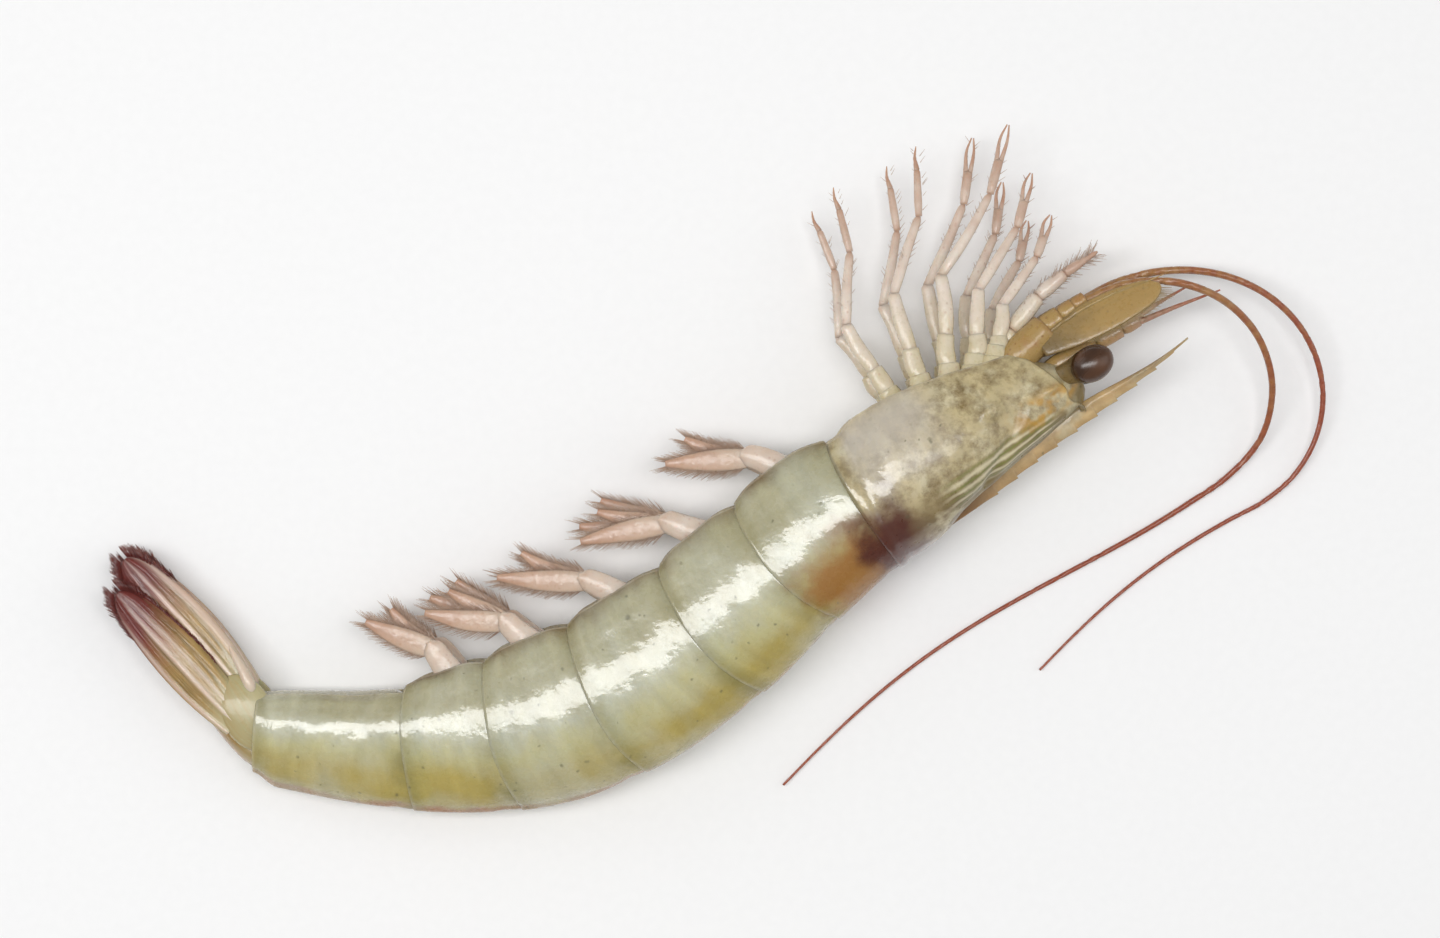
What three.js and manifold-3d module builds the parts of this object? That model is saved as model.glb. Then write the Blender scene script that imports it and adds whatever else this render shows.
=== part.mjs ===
// A raw whiteleg shrimp, 145 mm from the tip of its rostrum to the tip of its tail along the body.
// It lies on its right side with the left flank up. Every shell plate and every limb is one closed solid.
// Millimetres, +Z up. The origin is under the middle of the third ring, on the surface it lies on.
import * as THREE from 'three';
import { mergeVertices } from 'three/addons/utils/BufferGeometryUtils.js';
import Module from 'manifold-3d';

const wasm = await Module();
wasm.setup();

// ---- Driving dimensions -------------------------------------------------------------------------

// The abdomen's six rings: length along the flank, and the direction in which the ring runs, tailwards.
const RINGS = [
  { length: 10.8, heading: 220 },
  { length: 11.8, heading: 222 },
  { length: 14.6, heading: 215 },
  { length: 12.9, heading: 200 },
  { length: 11.1, heading: 187 },
  { length: 18.4, heading: 175 },
];
const HEAD_HEADING = 211;
const TAIL_HEADING = 129;
const CARAPACE_LENGTH = 27.5;

// The body's girth by station. Station 0 is the rear rim of the carapace, and the tail is positive.
// back and belly are measured from the body's line, and half is half the width. bow is how far the
// middle of a plate's rim lies nearer to the tail than the rim's two ends.
const GIRTH = [
  { at: -28, back: 4.6, belly: 4.7, half: 3.9, bow: 0 },
  { at: -20, back: 6.2, belly: 6.5, half: 6.2, bow: 0 },
  { at: -10, back: 7.9, belly: 8.4, half: 7.9, bow: 0 },
  { at: 0, back: 8.9, belly: 8.9, half: 8.2, bow: 0.9 },
  { at: 11, back: 9.3, belly: 9.3, half: 8.1, bow: 2.5 },
  { at: 22, back: 10.0, belly: 9.5, half: 7.9, bow: 2.5 },
  { at: 37, back: 10.2, belly: 9.9, half: 7.5, bow: 2.1 },
  { at: 50, back: 9.0, belly: 9.2, half: 6.9, bow: 1.6 },
  { at: 61, back: 7.5, belly: 7.2, half: 5.8, bow: 0.9 },
  { at: 80, back: 5.2, belly: 5.2, half: 4.3, bow: 0 },
];
const SAG = 0.45; // how far the soft lower flank is pressed flat
const LOBE_CUT = 0.14; // how much the side plates' lower corners are rounded away
const SIDE_PLATE_ANGLE = 150; // degrees round from the back to the lower edge of a side plate
const EDGE_WIDTH = 0.66; // width across the lower edges of the side plates, of the full width
const UNDERSIDE = 0.78; // depth of the underside between the side plates, of the full depth
const KEEL = 0.5; // height of the keel along the back of the last rings
const KEEL_FROM = 37;

// How one plate reaches over the next: the skirt is the part that covers, the neck is covered.
const SKIRT = 2.6;
const NECK = 2.2;
const SKIRT_FILL = 0.895;
const NECK_FILL = 0.84;

const ROSTRUM = { length: 15, height: 2.6, width: 1.3, root: 11, teeth: 8, tooth: 0.9 };
const EYE_RADIUS = 2.2;
const TELSON = { length: 21, half: 2.2, thickness: 1.8 };
// The five pairs of walking legs: how far forward each is rooted, and the length and direction of
// each part, in degrees round from the front to the belly. The first three pairs end in pincers.
const WALKING_LEGS = [
  { root: 21.6, parts: [[7.0, 52], [6.8, 22], [5.2, 40]], pincer: true },
  { root: 19.0, parts: [[9.8, 56], [8.4, 26], [6.6, 44]], pincer: true },
  { root: 16.0, parts: [[12.6, 64], [11.0, 27], [8.4, 44]], pincer: true },
  { root: 12.7, parts: [[12.2, 76], [9.4, 40], [8.2, 61]], pincer: false },
  { root: 9.2, parts: [[11.2, 91], [8.4, 55], [7.8, 73]], pincer: false },
];
const LEG_RADIUS = 0.85;
const RIGHT_LEG = { shorter: 0.94, turned: 7 }; // the right legs lie a little apart from the left ones
const SWIMMERET_REACH = [5.2, 5.6, 5.6, 5.2, 4.6]; // length of the stalk, ring by ring
const FEELER = { radius: 0.5, steps: 18, left: { bow: 44, trail: 62 }, right: { bow: 56, trail: 30 } };
const GAP = 0.6; // between a limb and the plate that it comes out of

const BODY_SIDES = 24;
const LIMB_SIDES = 6;

// ---- Materials ----------------------------------------------------------------------------------

const finish = (color, roughness) => new THREE.MeshStandardMaterial({ color, roughness, metalness: 0 });
const shell = finish(0xb9b48c, 0.25);
const tail = finish(0xa87c58, 0.3);
const eyeBlack = finish(0x2a1a14, 0.1);
const limb = finish(0xcbb7a0, 0.35);
const swimmeret = finish(0xc99f86, 0.35);
const feeler = finish(0xa5664c, 0.35);
const scale = finish(0xa88b5a, 0.3);

// ---- The body's line ----------------------------------------------------------------------------

const radians = THREE.MathUtils.degToRad;
const { clamp, lerp } = THREE.MathUtils;

// A smooth curve through the rows of a table, read at a station.
function tableAt(table, key, station) {
  const at = clamp(station, table[0].at, table[table.length - 1].at);
  const next = clamp(table.findIndex((row) => row.at > at), 1, table.length - 1);
  const after = at >= table[table.length - 1].at ? table.length - 1 : next;
  const [a, b] = [table[after - 1], table[after]];
  const before = table[Math.max(after - 2, 0)];
  const beyond = table[Math.min(after + 1, table.length - 1)];
  const span = b.at - a.at;
  const slopeA = (b[key] - before[key]) / (b.at - before.at);
  const slopeB = (beyond[key] - a[key]) / (beyond.at - a.at);
  const t = (at - a.at) / span;
  const rise = t * t * (3 - 2 * t);
  const pull = t * (1 - t) * (1 - t) * slopeA - t * t * (1 - t) * slopeB;
  return lerp(a[key], b[key], rise) + span * pull;
}

const girthAt = (station) => ({
  back: tableAt(GIRTH, 'back', station),
  belly: tableAt(GIRTH, 'belly', station),
  half: tableAt(GIRTH, 'half', station),
});

// Where each ring starts, and after the last where the tail fan starts.
const ringStarts = [0];
RINGS.forEach((ring, i) => ringStarts.push(ringStarts[i] + ring.length));
const TAIL_STATION = ringStarts[RINGS.length];
const ORIGIN_STATION = (ringStarts[2] + ringStarts[3]) / 2;

const HEADINGS = [
  { at: 0, heading: HEAD_HEADING },
  ...RINGS.map((ring, i) => ({ at: ringStarts[i] + ring.length / 2, heading: ring.heading })),
];

function headingAt(station) {
  const after = HEADINGS.findIndex((row) => row.at > station);
  if (after === 0) return HEAD_HEADING;
  if (after < 0) return HEADINGS[HEADINGS.length - 1].heading;
  const [a, b] = [HEADINGS[after - 1], HEADINGS[after]];
  return lerp(a.heading, b.heading, (station - a.at) / (b.at - a.at));
}

const heightAt = (station) => girthAt(Math.max(station, 0)).half - SAG;

// The point of the body's line at a station, found by walking there from the origin.
function lineAt(station) {
  const steps = Math.ceil(Math.abs(station - ORIGIN_STATION) / 0.5) || 1;
  const step = (station - ORIGIN_STATION) / steps;
  const point = new THREE.Vector3(0, 0, heightAt(station));
  for (let i = 0; i < steps; i += 1) {
    const heading = radians(headingAt(ORIGIN_STATION + (i + 0.5) * step));
    point.x += step * Math.cos(heading);
    point.y += step * Math.sin(heading);
  }
  return point;
}

// ---- Sections of the body -----------------------------------------------------------------------

// A point of the body's section. The angle goes round from the back, 0, over the left flank to the
// belly, half a turn, and on over the right flank. lobe is the depth of the side plate there.
function sectionPoint(angle, girth, lobe, keel) {
  const turned = Math.min(angle, 2 * Math.PI - angle);
  const hand = angle > Math.PI ? -1 : 1;
  const edge = radians(SIDE_PLATE_ANGLE);
  if (turned <= Math.PI / 2) {
    const ridge = keel * Math.max(0, 1 - turned / radians(360 / BODY_SIDES));
    return { side: hand * girth.half * Math.sin(turned) ** 0.85, up: girth.back * Math.cos(turned) + ridge };
  }
  if (turned <= edge) {
    const down = (turned - Math.PI / 2) / (edge - Math.PI / 2);
    const side = hand * girth.half * (1 - (1 - EDGE_WIDTH) * down ** 2.4);
    return { side, up: -girth.belly * lobe * Math.sin((down * Math.PI) / 2) };
  }
  const inward = (turned - edge) / (Math.PI - edge);
  const depth = lerp(lobe, UNDERSIDE, Math.sin((inward * Math.PI) / 2));
  return { side: hand * girth.half * EDGE_WIDTH * (1 - inward), up: -girth.belly * depth };
}

// A point of the body's skin, or under it where fill is less than 1. Nothing goes below the floor.
function bodyPoint(station, angle, fill, lobe = 1) {
  const bowed = station + tableAt(GIRTH, 'bow', station) * Math.sin(angle) ** 2;
  const keel = KEEL * clamp((station - KEEL_FROM) / 8, 0, 1);
  const { side, up } = sectionPoint(angle, girthAt(bowed), lobe, keel);
  const heading = radians(headingAt(bowed));
  const point = lineAt(bowed);
  point.x -= Math.sin(heading) * up * fill;
  point.y += Math.cos(heading) * up * fill;
  point.z = Math.max(point.z + side * fill, 0);
  return point;
}

// ---- Making closed shapes -----------------------------------------------------------------------

// A ball's net of points, each moved by place(row, angle, rows). The first and last rows are the
// poles, and each becomes one point in the middle of an end.
function closedShape(sides, rows, place) {
  const geometry = new THREE.SphereGeometry(1, sides, rows);
  geometry.deleteAttribute('normal');
  geometry.deleteAttribute('uv');
  const points = geometry.getAttribute('position');
  for (let row = 0; row <= rows; row += 1) {
    for (let column = 0; column <= sides; column += 1) {
      const angle = ((column % sides) * 2 * Math.PI) / sides;
      const point = place(row, row === 0 || row === rows ? 0 : angle, rows);
      points.setXYZ(row * (sides + 1) + column, point.x, point.y, point.z);
    }
  }
  return outward(mergeVertices(geometry, 1e-4));
}

// The same mesh with its faces turned out, whichever way round its points were placed.
function outward(geometry) {
  const points = geometry.getAttribute('position');
  const index = geometry.getIndex();
  const corner = [new THREE.Vector3(), new THREE.Vector3(), new THREE.Vector3()];
  let volume = 0;
  for (let i = 0; i < index.count; i += 3) {
    corner.forEach((vector, k) => vector.fromBufferAttribute(points, index.getX(i + k)));
    volume += corner[0].dot(corner[1].clone().cross(corner[2]));
  }
  if (volume < 0) {
    for (let i = 0; i < index.count; i += 3) {
      const first = index.getX(i);
      index.setX(i, index.getX(i + 1));
      index.setX(i + 1, first);
    }
  }
  return geometry;
}

function solidOf(geometry) {
  const bare = new THREE.BufferGeometry();
  bare.setAttribute('position', geometry.getAttribute('position'));
  bare.setIndex(geometry.getIndex());
  const merged = mergeVertices(bare, 1e-4);
  const vertProperties = new Float32Array(merged.getAttribute('position').array);
  return new wasm.Manifold(new wasm.Mesh({
    numProp: 3,
    vertProperties,
    triVerts: new Uint32Array(merged.getIndex().array),
  }));
}

// Several overlapping closed shapes joined into one.
function joined(...geometries) {
  const whole = geometries.map(solidOf).reduce((sum, solid) => sum.add(solid));
  const mesh = whole.getMesh();
  const geometry = new THREE.BufferGeometry();
  geometry.setAttribute('position', new THREE.Float32BufferAttribute(mesh.vertProperties, 3));
  geometry.setIndex(new THREE.Uint32BufferAttribute(mesh.triVerts, 1));
  return geometry;
}

// A limb along a smooth route. radiusAt gives its half width in the plane of the body and its half
// thickness across it, from the root, 0, to the tip, 1.
function limbShape(route, radiusAt, rows, sides = LIMB_SIDES) {
  const curve = new THREE.CatmullRomCurve3(route, false, 'centripetal');
  const across = new THREE.Vector3(0, 0, 1);
  return closedShape(sides, rows, (row, angle) => {
    const along = clamp((row - 1) / (rows - 2), 0, 1);
    const point = curve.getPointAt(along);
    if (row === 0 || row === rows) return point;
    const [half, thick] = radiusAt(along);
    const tangent = curve.getTangentAt(along);
    const wide = new THREE.Vector3().crossVectors(across, tangent).normalize();
    const deep = new THREE.Vector3().crossVectors(tangent, wide);
    return point.addScaledVector(wide, half * Math.cos(angle)).addScaledVector(deep, thick * Math.sin(angle));
  });
}

const at = (x, y, z) => new THREE.Vector3(x, y, z);

// The point that lies a length away from another, in a direction in degrees, and a rise in z.
const away = (from, length, degrees, rise = 0) => at(
  from.x + length * Math.cos(radians(degrees)),
  from.y + length * Math.sin(radians(degrees)),
  from.z + rise,
);

function mesh(name, geometry, material) {
  geometry.computeVertexNormals();
  const made = new THREE.Mesh(geometry, material);
  made.name = name;
  return made;
}

// A limb's root is narrow and swells at once.
const rootSwell = (along) => Math.min(1, 0.6 + 4 * along);

const SIDES_OF_BODY = [['left', 1], ['right', -1]];

// How deep the underside lies at a station, at a distance from the middle.
function undersideAt(station, off) {
  const girth = girthAt(station);
  const inward = 1 - clamp(Math.abs(off) / (girth.half * EDGE_WIDTH), 0, 1);
  return girth.belly * lerp(1 - LOBE_CUT / 2, UNDERSIDE, Math.sin((inward * Math.PI) / 2));
}

// ---- Shell plates of the body -------------------------------------------------------------------

// The lower edge of a ring's side plate: deepest in the middle of the ring, with rounded corners.
const lobeAt = (along) => 1 - LOBE_CUT * Math.abs(2 * clamp(along, 0, 1) - 1) ** 3;
const NECK_LOBE = 1 - LOBE_CUT;

function ringShape(index) {
  const start = ringStarts[index];
  const { length } = RINGS[index];
  const last = index === RINGS.length - 1;
  const outer = [[0.04, 0.91], [0.2, 0.955], [0.45, 0.985], [0.72, 1], [0.9, 1]].map(([along, fill]) => (
    { station: start + along * length, fill, lobe: last ? NECK_LOBE : lobeAt(along) }
  ));
  const front = [
    { station: start - NECK, fill: 0, lobe: NECK_LOBE },
    { station: start - NECK, fill: NECK_FILL, lobe: NECK_LOBE },
    { station: start, fill: NECK_FILL, lobe: NECK_LOBE },
  ];
  const end = start + length;
  const rear = last
    ? [{ station: end, fill: 0.9 }, { station: end, fill: 0 }]
    : [
      { station: end, fill: 1 },
      { station: end, fill: SKIRT_FILL },
      { station: end - SKIRT, fill: SKIRT_FILL },
      { station: end - SKIRT, fill: 0 },
    ];
  const rows = [...front, ...outer, ...rear.map((row) => ({ lobe: NECK_LOBE, ...row }))];
  return closedShape(BODY_SIDES, rows.length - 1, (row, angle) => (
    bodyPoint(rows[row].station, angle, rows[row].fill, rows[row].lobe)
  ));
}

// The toothed spike on top of the head, in the head's frame.
function rostrumShape(head) {
  const { length, height, width, root, teeth, tooth } = ROSTRUM;
  const from = at(CARAPACE_LENGTH - root, -girthAt(root - CARAPACE_LENGTH).back + 1.1, 0);
  const tip = at(CARAPACE_LENGTH + length, -3.4, 0);
  const crest = (along) => from.clone().lerp(tip, along).add(at(0, -0.9 * Math.sin(Math.PI * along), 0));
  const outline = new THREE.Shape();
  outline.moveTo(from.x, from.y + height / 2);
  outline.lineTo(from.x, from.y);
  for (let i = 0; i < teeth; i += 1) {
    const valley = crest((i + 0.35) / (teeth + 1));
    const point = crest((i + 1) / (teeth + 1));
    outline.lineTo(valley.x, valley.y);
    outline.lineTo(point.x, point.y - tooth);
  }
  outline.lineTo(tip.x, tip.y);
  outline.lineTo(CARAPACE_LENGTH + length * 0.55, crest(0.78).y + height * 0.55);
  outline.lineTo(CARAPACE_LENGTH, crest(0.45).y + height);
  const blade = new THREE.ExtrudeGeometry(outline, { depth: width, bevelEnabled: false });
  blade.translate(0, 0, -width / 2);
  blade.deleteAttribute('normal');
  blade.deleteAttribute('uv');
  return outward(mergeVertices(blade, 1e-4)).applyMatrix4(head);
}

function carapaceShape(head) {
  const rows = [
    { station: -SKIRT, fill: 0 },
    { station: -SKIRT, fill: SKIRT_FILL },
    { station: 0, fill: SKIRT_FILL },
    ...[0, 0.05, 0.2, 0.36, 0.52, 0.66, 0.79, 0.9, 1].map((along) => (
      { station: -along * CARAPACE_LENGTH, fill: 1 }
    )),
    { station: -CARAPACE_LENGTH - 0.8, fill: 0.82 },
    { station: -CARAPACE_LENGTH - 0.8, fill: 0 },
  ];
  const body = closedShape(BODY_SIDES, rows.length - 1, (row, angle) => {
    const forward = clamp(-rows[row].station / CARAPACE_LENGTH, 0, 1);
    // The front edge slants back from the brow to the mouth.
    const slant = 5 * forward ** 4 * ((1 - Math.cos(angle)) / 2) ** 2;
    const lobe = rows[row].fill === SKIRT_FILL ? NECK_LOBE : lerp(NECK_LOBE, 1, clamp(forward * 6, 0, 1));
    return bodyPoint(rows[row].station + slant * rows[row].fill, angle, rows[row].fill, lobe);
  });
  return joined(body, rostrumShape(head));
}

// ---- Limbs of the head, in the head's frame: x forwards, y to the belly, z to the left ----------

function eyeShape(hand) {
  const ball = new THREE.SphereGeometry(EYE_RADIUS, 12, 8);
  ball.scale(1, 0.95, 0.8);
  ball.translate(31.0, 0, 4.1 * hand);
  const stalk = limbShape([at(29.3, 0.3, 1.4 * hand), at(30.4, 0, 3.2 * hand)], () => [1.0, 1.1], 3);
  return joined(ball, stalk);
}

function antennalScaleShape(hand) {
  const root = at(29.6, 4.9, 3.7 * hand);
  const tip = at(42.5, 3.7, 3.5 * hand);
  return limbShape([root, root.clone().lerp(tip, 0.5).add(at(0, 0.2, 0.3 * hand)), tip], (along) => (
    [0.5 + 1.7 * Math.sin(Math.PI * (0.12 + 0.8 * along)), 0.32]
  ), 8, 8);
}

function antennuleShape(hand) {
  const root = at(29.6, 1.9, 0.9 * hand);
  const fork = at(38.5, 1.5, 1.2 * hand);
  const base = limbShape([root, fork], (along) => [1.05 - 0.35 * along, 0.7 - 0.1 * along], 5);
  const upper = [at(37.6, 1.4, 1.2 * hand), at(43, 0.6, 1.1 * hand), at(48.5, -0.4, 0.9 * hand)];
  const lower = [at(37.6, 1.8, 1.2 * hand), at(42, 2.0, 1.2 * hand), at(46, 1.9, 1.0 * hand)];
  return joined(
    base,
    limbShape(upper, (along) => [0.42 - 0.25 * along, 0.4 - 0.25 * along], 6),
    limbShape(lower, (along) => [0.34 - 0.2 * along, 0.32 - 0.2 * along], 6),
  );
}

// The long feeler turns back in a bow, sinks to the surface below and trails beside the back.
function antennaShape(hand, { bow, trail }) {
  const root = at(29.0, 6.3, 2.0 * hand);
  const bend = at(34.5, 6.9, 2.2 * hand);
  const base = limbShape([root, bend], (along) => [1.2 - 0.4 * along, 1.1 - 0.3 * along], 5);
  const { steps, radius } = FEELER;
  const stride = (bow + trail) / steps;
  const floor = radius - lineAt(0).z;
  const route = [bend.clone().add(at(-0.8, -0.1, 0))];
  for (let i = 1; i <= steps; i += 1) {
    const turned = Math.min(1, (i * stride) / bow);
    const wave = 9 * Math.sin((i / steps) * 2.4 * Math.PI);
    const next = away(route[i - 1], stride, 8 - 182 * turned ** 1.15 + wave * turned);
    next.z = lerp(bend.z, floor, THREE.MathUtils.smoothstep(turned, 0.3, 1));
    route.push(next);
  }
  const lash = limbShape(route, (along) => [radius * (1 - 0.65 * along), radius * (1 - 0.65 * along)], 30, 5);
  return joined(base, lash);
}

function mouthLegShape(hand) {
  const root = at(25.4, 7.9, 1.3 * hand);
  const knee = at(33.5, 10.6, 1.5 * hand);
  return limbShape([root, at(29.5, 9.8, 1.4 * hand), knee, at(38.5, 10.8, 1.4 * hand)], (along) => (
    [0.95 * rootSwell(along) - 0.55 * along, 0.85 * rootSwell(along) - 0.5 * along]
  ), 8);
}

function walkingLegShape({ root, parts, pincer }, hand) {
  const off = 2.5 * hand;
  const joints = [at(root, undersideAt(-root, off) + GAP, off)];
  parts.forEach(([length, turned]) => {
    const [reach, lead] = hand > 0 ? [length, 0] : [length * RIGHT_LEG.shorter, RIGHT_LEG.turned];
    joints.push(away(joints[joints.length - 1], reach, turned + lead, hand > 0 ? -0.9 : -0.6));
  });
  const [hip, knee, wrist, tip] = joints;
  const route = [hip, hip.clone().lerp(knee, 0.5), knee, wrist, wrist.clone().lerp(tip, 0.5), tip];
  const leg = limbShape(route, (along) => (
    [LEG_RADIUS * (1.25 * rootSwell(along) - along), LEG_RADIUS * (rootSwell(along) - 0.75 * along)]
  ), 10);
  if (!pincer) return leg;
  const palm = wrist.clone().lerp(tip, 0.45);
  const middle = palm.clone().lerp(tip, 0.55).add(at(0.6, -0.5, 0));
  const finger = limbShape([palm, middle, tip.clone().add(at(0.3, -0.1, 0))], (along) => (
    [0.3 - 0.18 * along, 0.28 - 0.16 * along]
  ), 5);
  return joined(leg, finger);
}

// ---- Swimmerets, in the frame of their ring: x tailwards, y to the back, z to the left ------------

function swimmeretShape(index, hand) {
  const station = ringStarts[index] + RINGS[index].length * 0.45;
  const off = 2.3 * hand;
  const root = at(0, -undersideAt(station, off) - GAP, off);
  const reach = SWIMMERET_REACH[index];
  const knee = away(root, reach, -62);
  const stalk = limbShape([root, knee], (along) => (
    [1.5 * rootSwell(along) - 0.2 * along, 0.95 * rootSwell(along) - 0.15 * along]
  ), 5);
  const outerTip = away(knee, reach * 1.75, -30, 0.5 * hand);
  const innerTip = away(knee, reach * 1.35, -52, -0.4 * hand);
  const leaf = (tip, half) => {
    const route = [knee.clone().lerp(root, 0.18), knee.clone().lerp(tip, 0.5), tip];
    return limbShape(route, (along) => [0.45 + half * Math.sin(Math.PI * (0.1 + 0.8 * along)), 0.26], 6);
  };
  return joined(stalk, leaf(outerTip, 0.95), leaf(innerTip, 0.7));
}

// ---- Tail fan, in the tail's frame: x tailwards, y to the back, z to the left ---------------------

function telsonShape() {
  const { length, half, thickness } = TELSON;
  return limbShape([at(0.4, 2.2, 0), at(length * 0.45, 2.8, 0), at(length, 3.0, 0)], (along) => {
    const swell = Math.min(1, 0.45 + 3 * along) * (1 - 0.88 * along ** 1.5);
    return [(thickness / 2) * swell, half * swell];
  }, 9, 8);
}

function tailBladeShape({ root, tip, half, off, hand }) {
  const from = at(...root, (off - 0.3) * hand);
  const to = at(...tip, off * hand);
  const middle = from.clone().lerp(to, 0.5).add(at(0, 0, 0.15 * hand));
  return limbShape([from, middle, to], (along) => (
    [0.9 + (half - 0.9) * Math.sin(Math.PI * Math.min(0.93, 0.04 + 0.92 * along) ** 0.85), 0.3]
  ), 9, 8);
}

const TAIL_BLADES = {
  inner: { root: [2.2, 0.6], tip: [23.0, 2.0], half: 2.9, off: 3.1 },
  outer: { root: [4.6, -1.9], tip: [25.6, -0.9], half: 3.2, off: 2.1 },
};

// ---- The shrimp -----------------------------------------------------------------------------------

const shrimp = new THREE.Group();

// A group whose x axis runs along the body's line at a station, in a direction in degrees.
function frameAt(station, degrees) {
  const frame = new THREE.Group();
  frame.position.copy(lineAt(station));
  frame.rotation.z = radians(degrees);
  frame.updateMatrix();
  shrimp.add(frame);
  return frame;
}

const head = frameAt(0, HEAD_HEADING - 180);
shrimp.add(mesh('carapace', carapaceShape(head.matrix), shell));
RINGS.forEach((ring, i) => shrimp.add(mesh(`ring_${i + 1}`, ringShape(i), shell)));

SIDES_OF_BODY.forEach(([side, hand]) => {
  head.add(mesh(`eye_${side}`, eyeShape(hand), eyeBlack));
  head.add(mesh(`antennal_scale_${side}`, antennalScaleShape(hand), scale));
  head.add(mesh(`antennule_${side}`, antennuleShape(hand), feeler));
  head.add(mesh(`antenna_${side}`, antennaShape(hand, FEELER[side]), feeler));
  head.add(mesh(`mouth_leg_${side}`, mouthLegShape(hand), limb));
  WALKING_LEGS.forEach((leg, i) => {
    head.add(mesh(`walking_leg_${i + 1}_${side}`, walkingLegShape(leg, hand), limb));
  });
});

for (let i = 0; i < RINGS.length - 1; i += 1) {
  const station = ringStarts[i] + RINGS[i].length * 0.45;
  const frame = frameAt(station, headingAt(station));
  SIDES_OF_BODY.forEach(([side, hand]) => {
    frame.add(mesh(`swimmeret_${i + 1}_${side}`, swimmeretShape(i, hand), swimmeret));
  });
}

const fan = frameAt(TAIL_STATION, TAIL_HEADING);
fan.add(mesh('telson', telsonShape(), tail));
SIDES_OF_BODY.forEach(([side, hand]) => {
  Object.entries(TAIL_BLADES).forEach(([name, blade]) => {
    fan.add(mesh(`tail_blade_${name}_${side}`, tailBladeShape({ ...blade, hand }), tail));
  });
});

export default shrimp;
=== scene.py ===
import math
import random

import bmesh
import bpy
from bpy.props import FloatProperty, FloatVectorProperty, IntProperty, PointerProperty
from mathutils import Matrix, Vector, geometry, noise


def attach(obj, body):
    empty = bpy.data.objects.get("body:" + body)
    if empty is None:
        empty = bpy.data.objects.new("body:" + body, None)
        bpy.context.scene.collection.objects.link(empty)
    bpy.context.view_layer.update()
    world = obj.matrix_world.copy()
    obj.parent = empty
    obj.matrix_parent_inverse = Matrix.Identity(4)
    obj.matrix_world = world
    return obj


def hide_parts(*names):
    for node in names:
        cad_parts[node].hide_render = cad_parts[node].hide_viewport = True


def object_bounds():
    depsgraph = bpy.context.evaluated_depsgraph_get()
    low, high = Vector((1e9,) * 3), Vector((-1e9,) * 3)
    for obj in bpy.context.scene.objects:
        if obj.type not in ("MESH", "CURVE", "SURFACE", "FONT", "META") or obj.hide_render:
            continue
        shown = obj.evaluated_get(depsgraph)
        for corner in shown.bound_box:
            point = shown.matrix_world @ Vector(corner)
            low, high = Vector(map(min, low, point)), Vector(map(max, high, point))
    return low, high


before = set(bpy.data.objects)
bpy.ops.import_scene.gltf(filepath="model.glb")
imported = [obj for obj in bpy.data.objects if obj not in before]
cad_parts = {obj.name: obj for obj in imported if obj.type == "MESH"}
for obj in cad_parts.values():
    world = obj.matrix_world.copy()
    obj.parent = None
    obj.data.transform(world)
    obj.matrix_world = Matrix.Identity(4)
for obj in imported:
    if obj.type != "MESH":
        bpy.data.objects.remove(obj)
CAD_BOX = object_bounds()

bl_info = {
    "name": "Raw Whole Shrimp",
    "version": (1, 0, 0),
    "blender": (4, 5, 0),
    "location": "View3D > Sidebar > Shrimp",
    "description": "Builds a raw whole shrimp lying on its flank, and a plain studio for it",
    "category": "Add Mesh",
}

MM = 0.001

# ---- Driving sizes, in millimetres ------------------------------------------------------------------

# The six rings of the abdomen: length along the flank, and the direction tailwards in degrees.
RINGS = ((10.8, 220), (11.8, 222), (14.6, 215), (12.9, 200), (11.1, 187), (18.4, 175))
HEAD_HEADING = 211
TAIL_HEADING = 129
CARAPACE_LENGTH = 27.5

# Girth by station: station, to the back, to the belly, half the width, and how far the middle of a
# plate's rim bows towards the tail. Station 0 is the rear rim of the carapace.
GIRTH = (
    (-28, 4.6, 4.7, 3.9, 0.0),
    (-20, 6.2, 6.5, 6.2, 0.0),
    (-10, 7.9, 8.4, 7.9, 0.0),
    (0, 8.9, 8.9, 8.2, 0.9),
    (11, 9.3, 9.3, 8.1, 2.5),
    (22, 10.0, 9.5, 7.9, 2.5),
    (37, 10.2, 9.9, 7.5, 2.1),
    (50, 9.0, 9.2, 6.9, 1.6),
    (61, 7.5, 7.2, 5.8, 0.9),
    (80, 5.2, 5.2, 4.3, 0.0),
)
AT, BACK, BELLY, HALF, BOW = range(5)
SAG = 0.45  # how far the soft lower flank is pressed flat
LOBE_CUT = 0.14  # how much the lower corners of a side plate are rounded away
SIDE_PLATE = 150  # degrees round from the back to the lower edge of a side plate
EDGE_WIDTH = 0.66  # width across the lower edges of the side plates, of the full width
UNDERSIDE = 0.78  # depth of the underside between the side plates, of the full depth
KEEL_FROM = 37  # the station where the keel along the back starts to rise
SKIRT = 2.6  # how far a plate reaches over the next one
NECK = 2.2  # how far a plate reaches under the one before it

EYE_RADIUS = 2.2
EYE_ROWS = 24
WALKING_LEGS = (
    # how far forward it is rooted, the length and direction of each part, and whether it has pincers
    (21.6, ((7.0, 52), (6.8, 22), (5.2, 40)), True),
    (19.0, ((9.8, 56), (8.4, 26), (6.6, 44)), True),
    (16.0, ((12.6, 64), (11.0, 27), (8.4, 44)), True),
    (12.7, ((12.2, 76), (9.4, 40), (8.2, 61)), False),
    (9.2, ((11.2, 91), (8.4, 55), (7.8, 73)), False),
)
LEG_RADIUS = 0.85
RIGHT_LEG_SHORTER = 0.94
RIGHT_LEG_TURNED = 7
GAP = 0.6  # from the underside to the root of a limb
FEELER_STEPS = 18
FEELERS = {"left": (44, 62), "right": (56, 30)}  # length of the bow, and of what trails behind it
SWIMMERET_REACH = (5.2, 5.6, 5.6, 5.2, 4.6)
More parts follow.
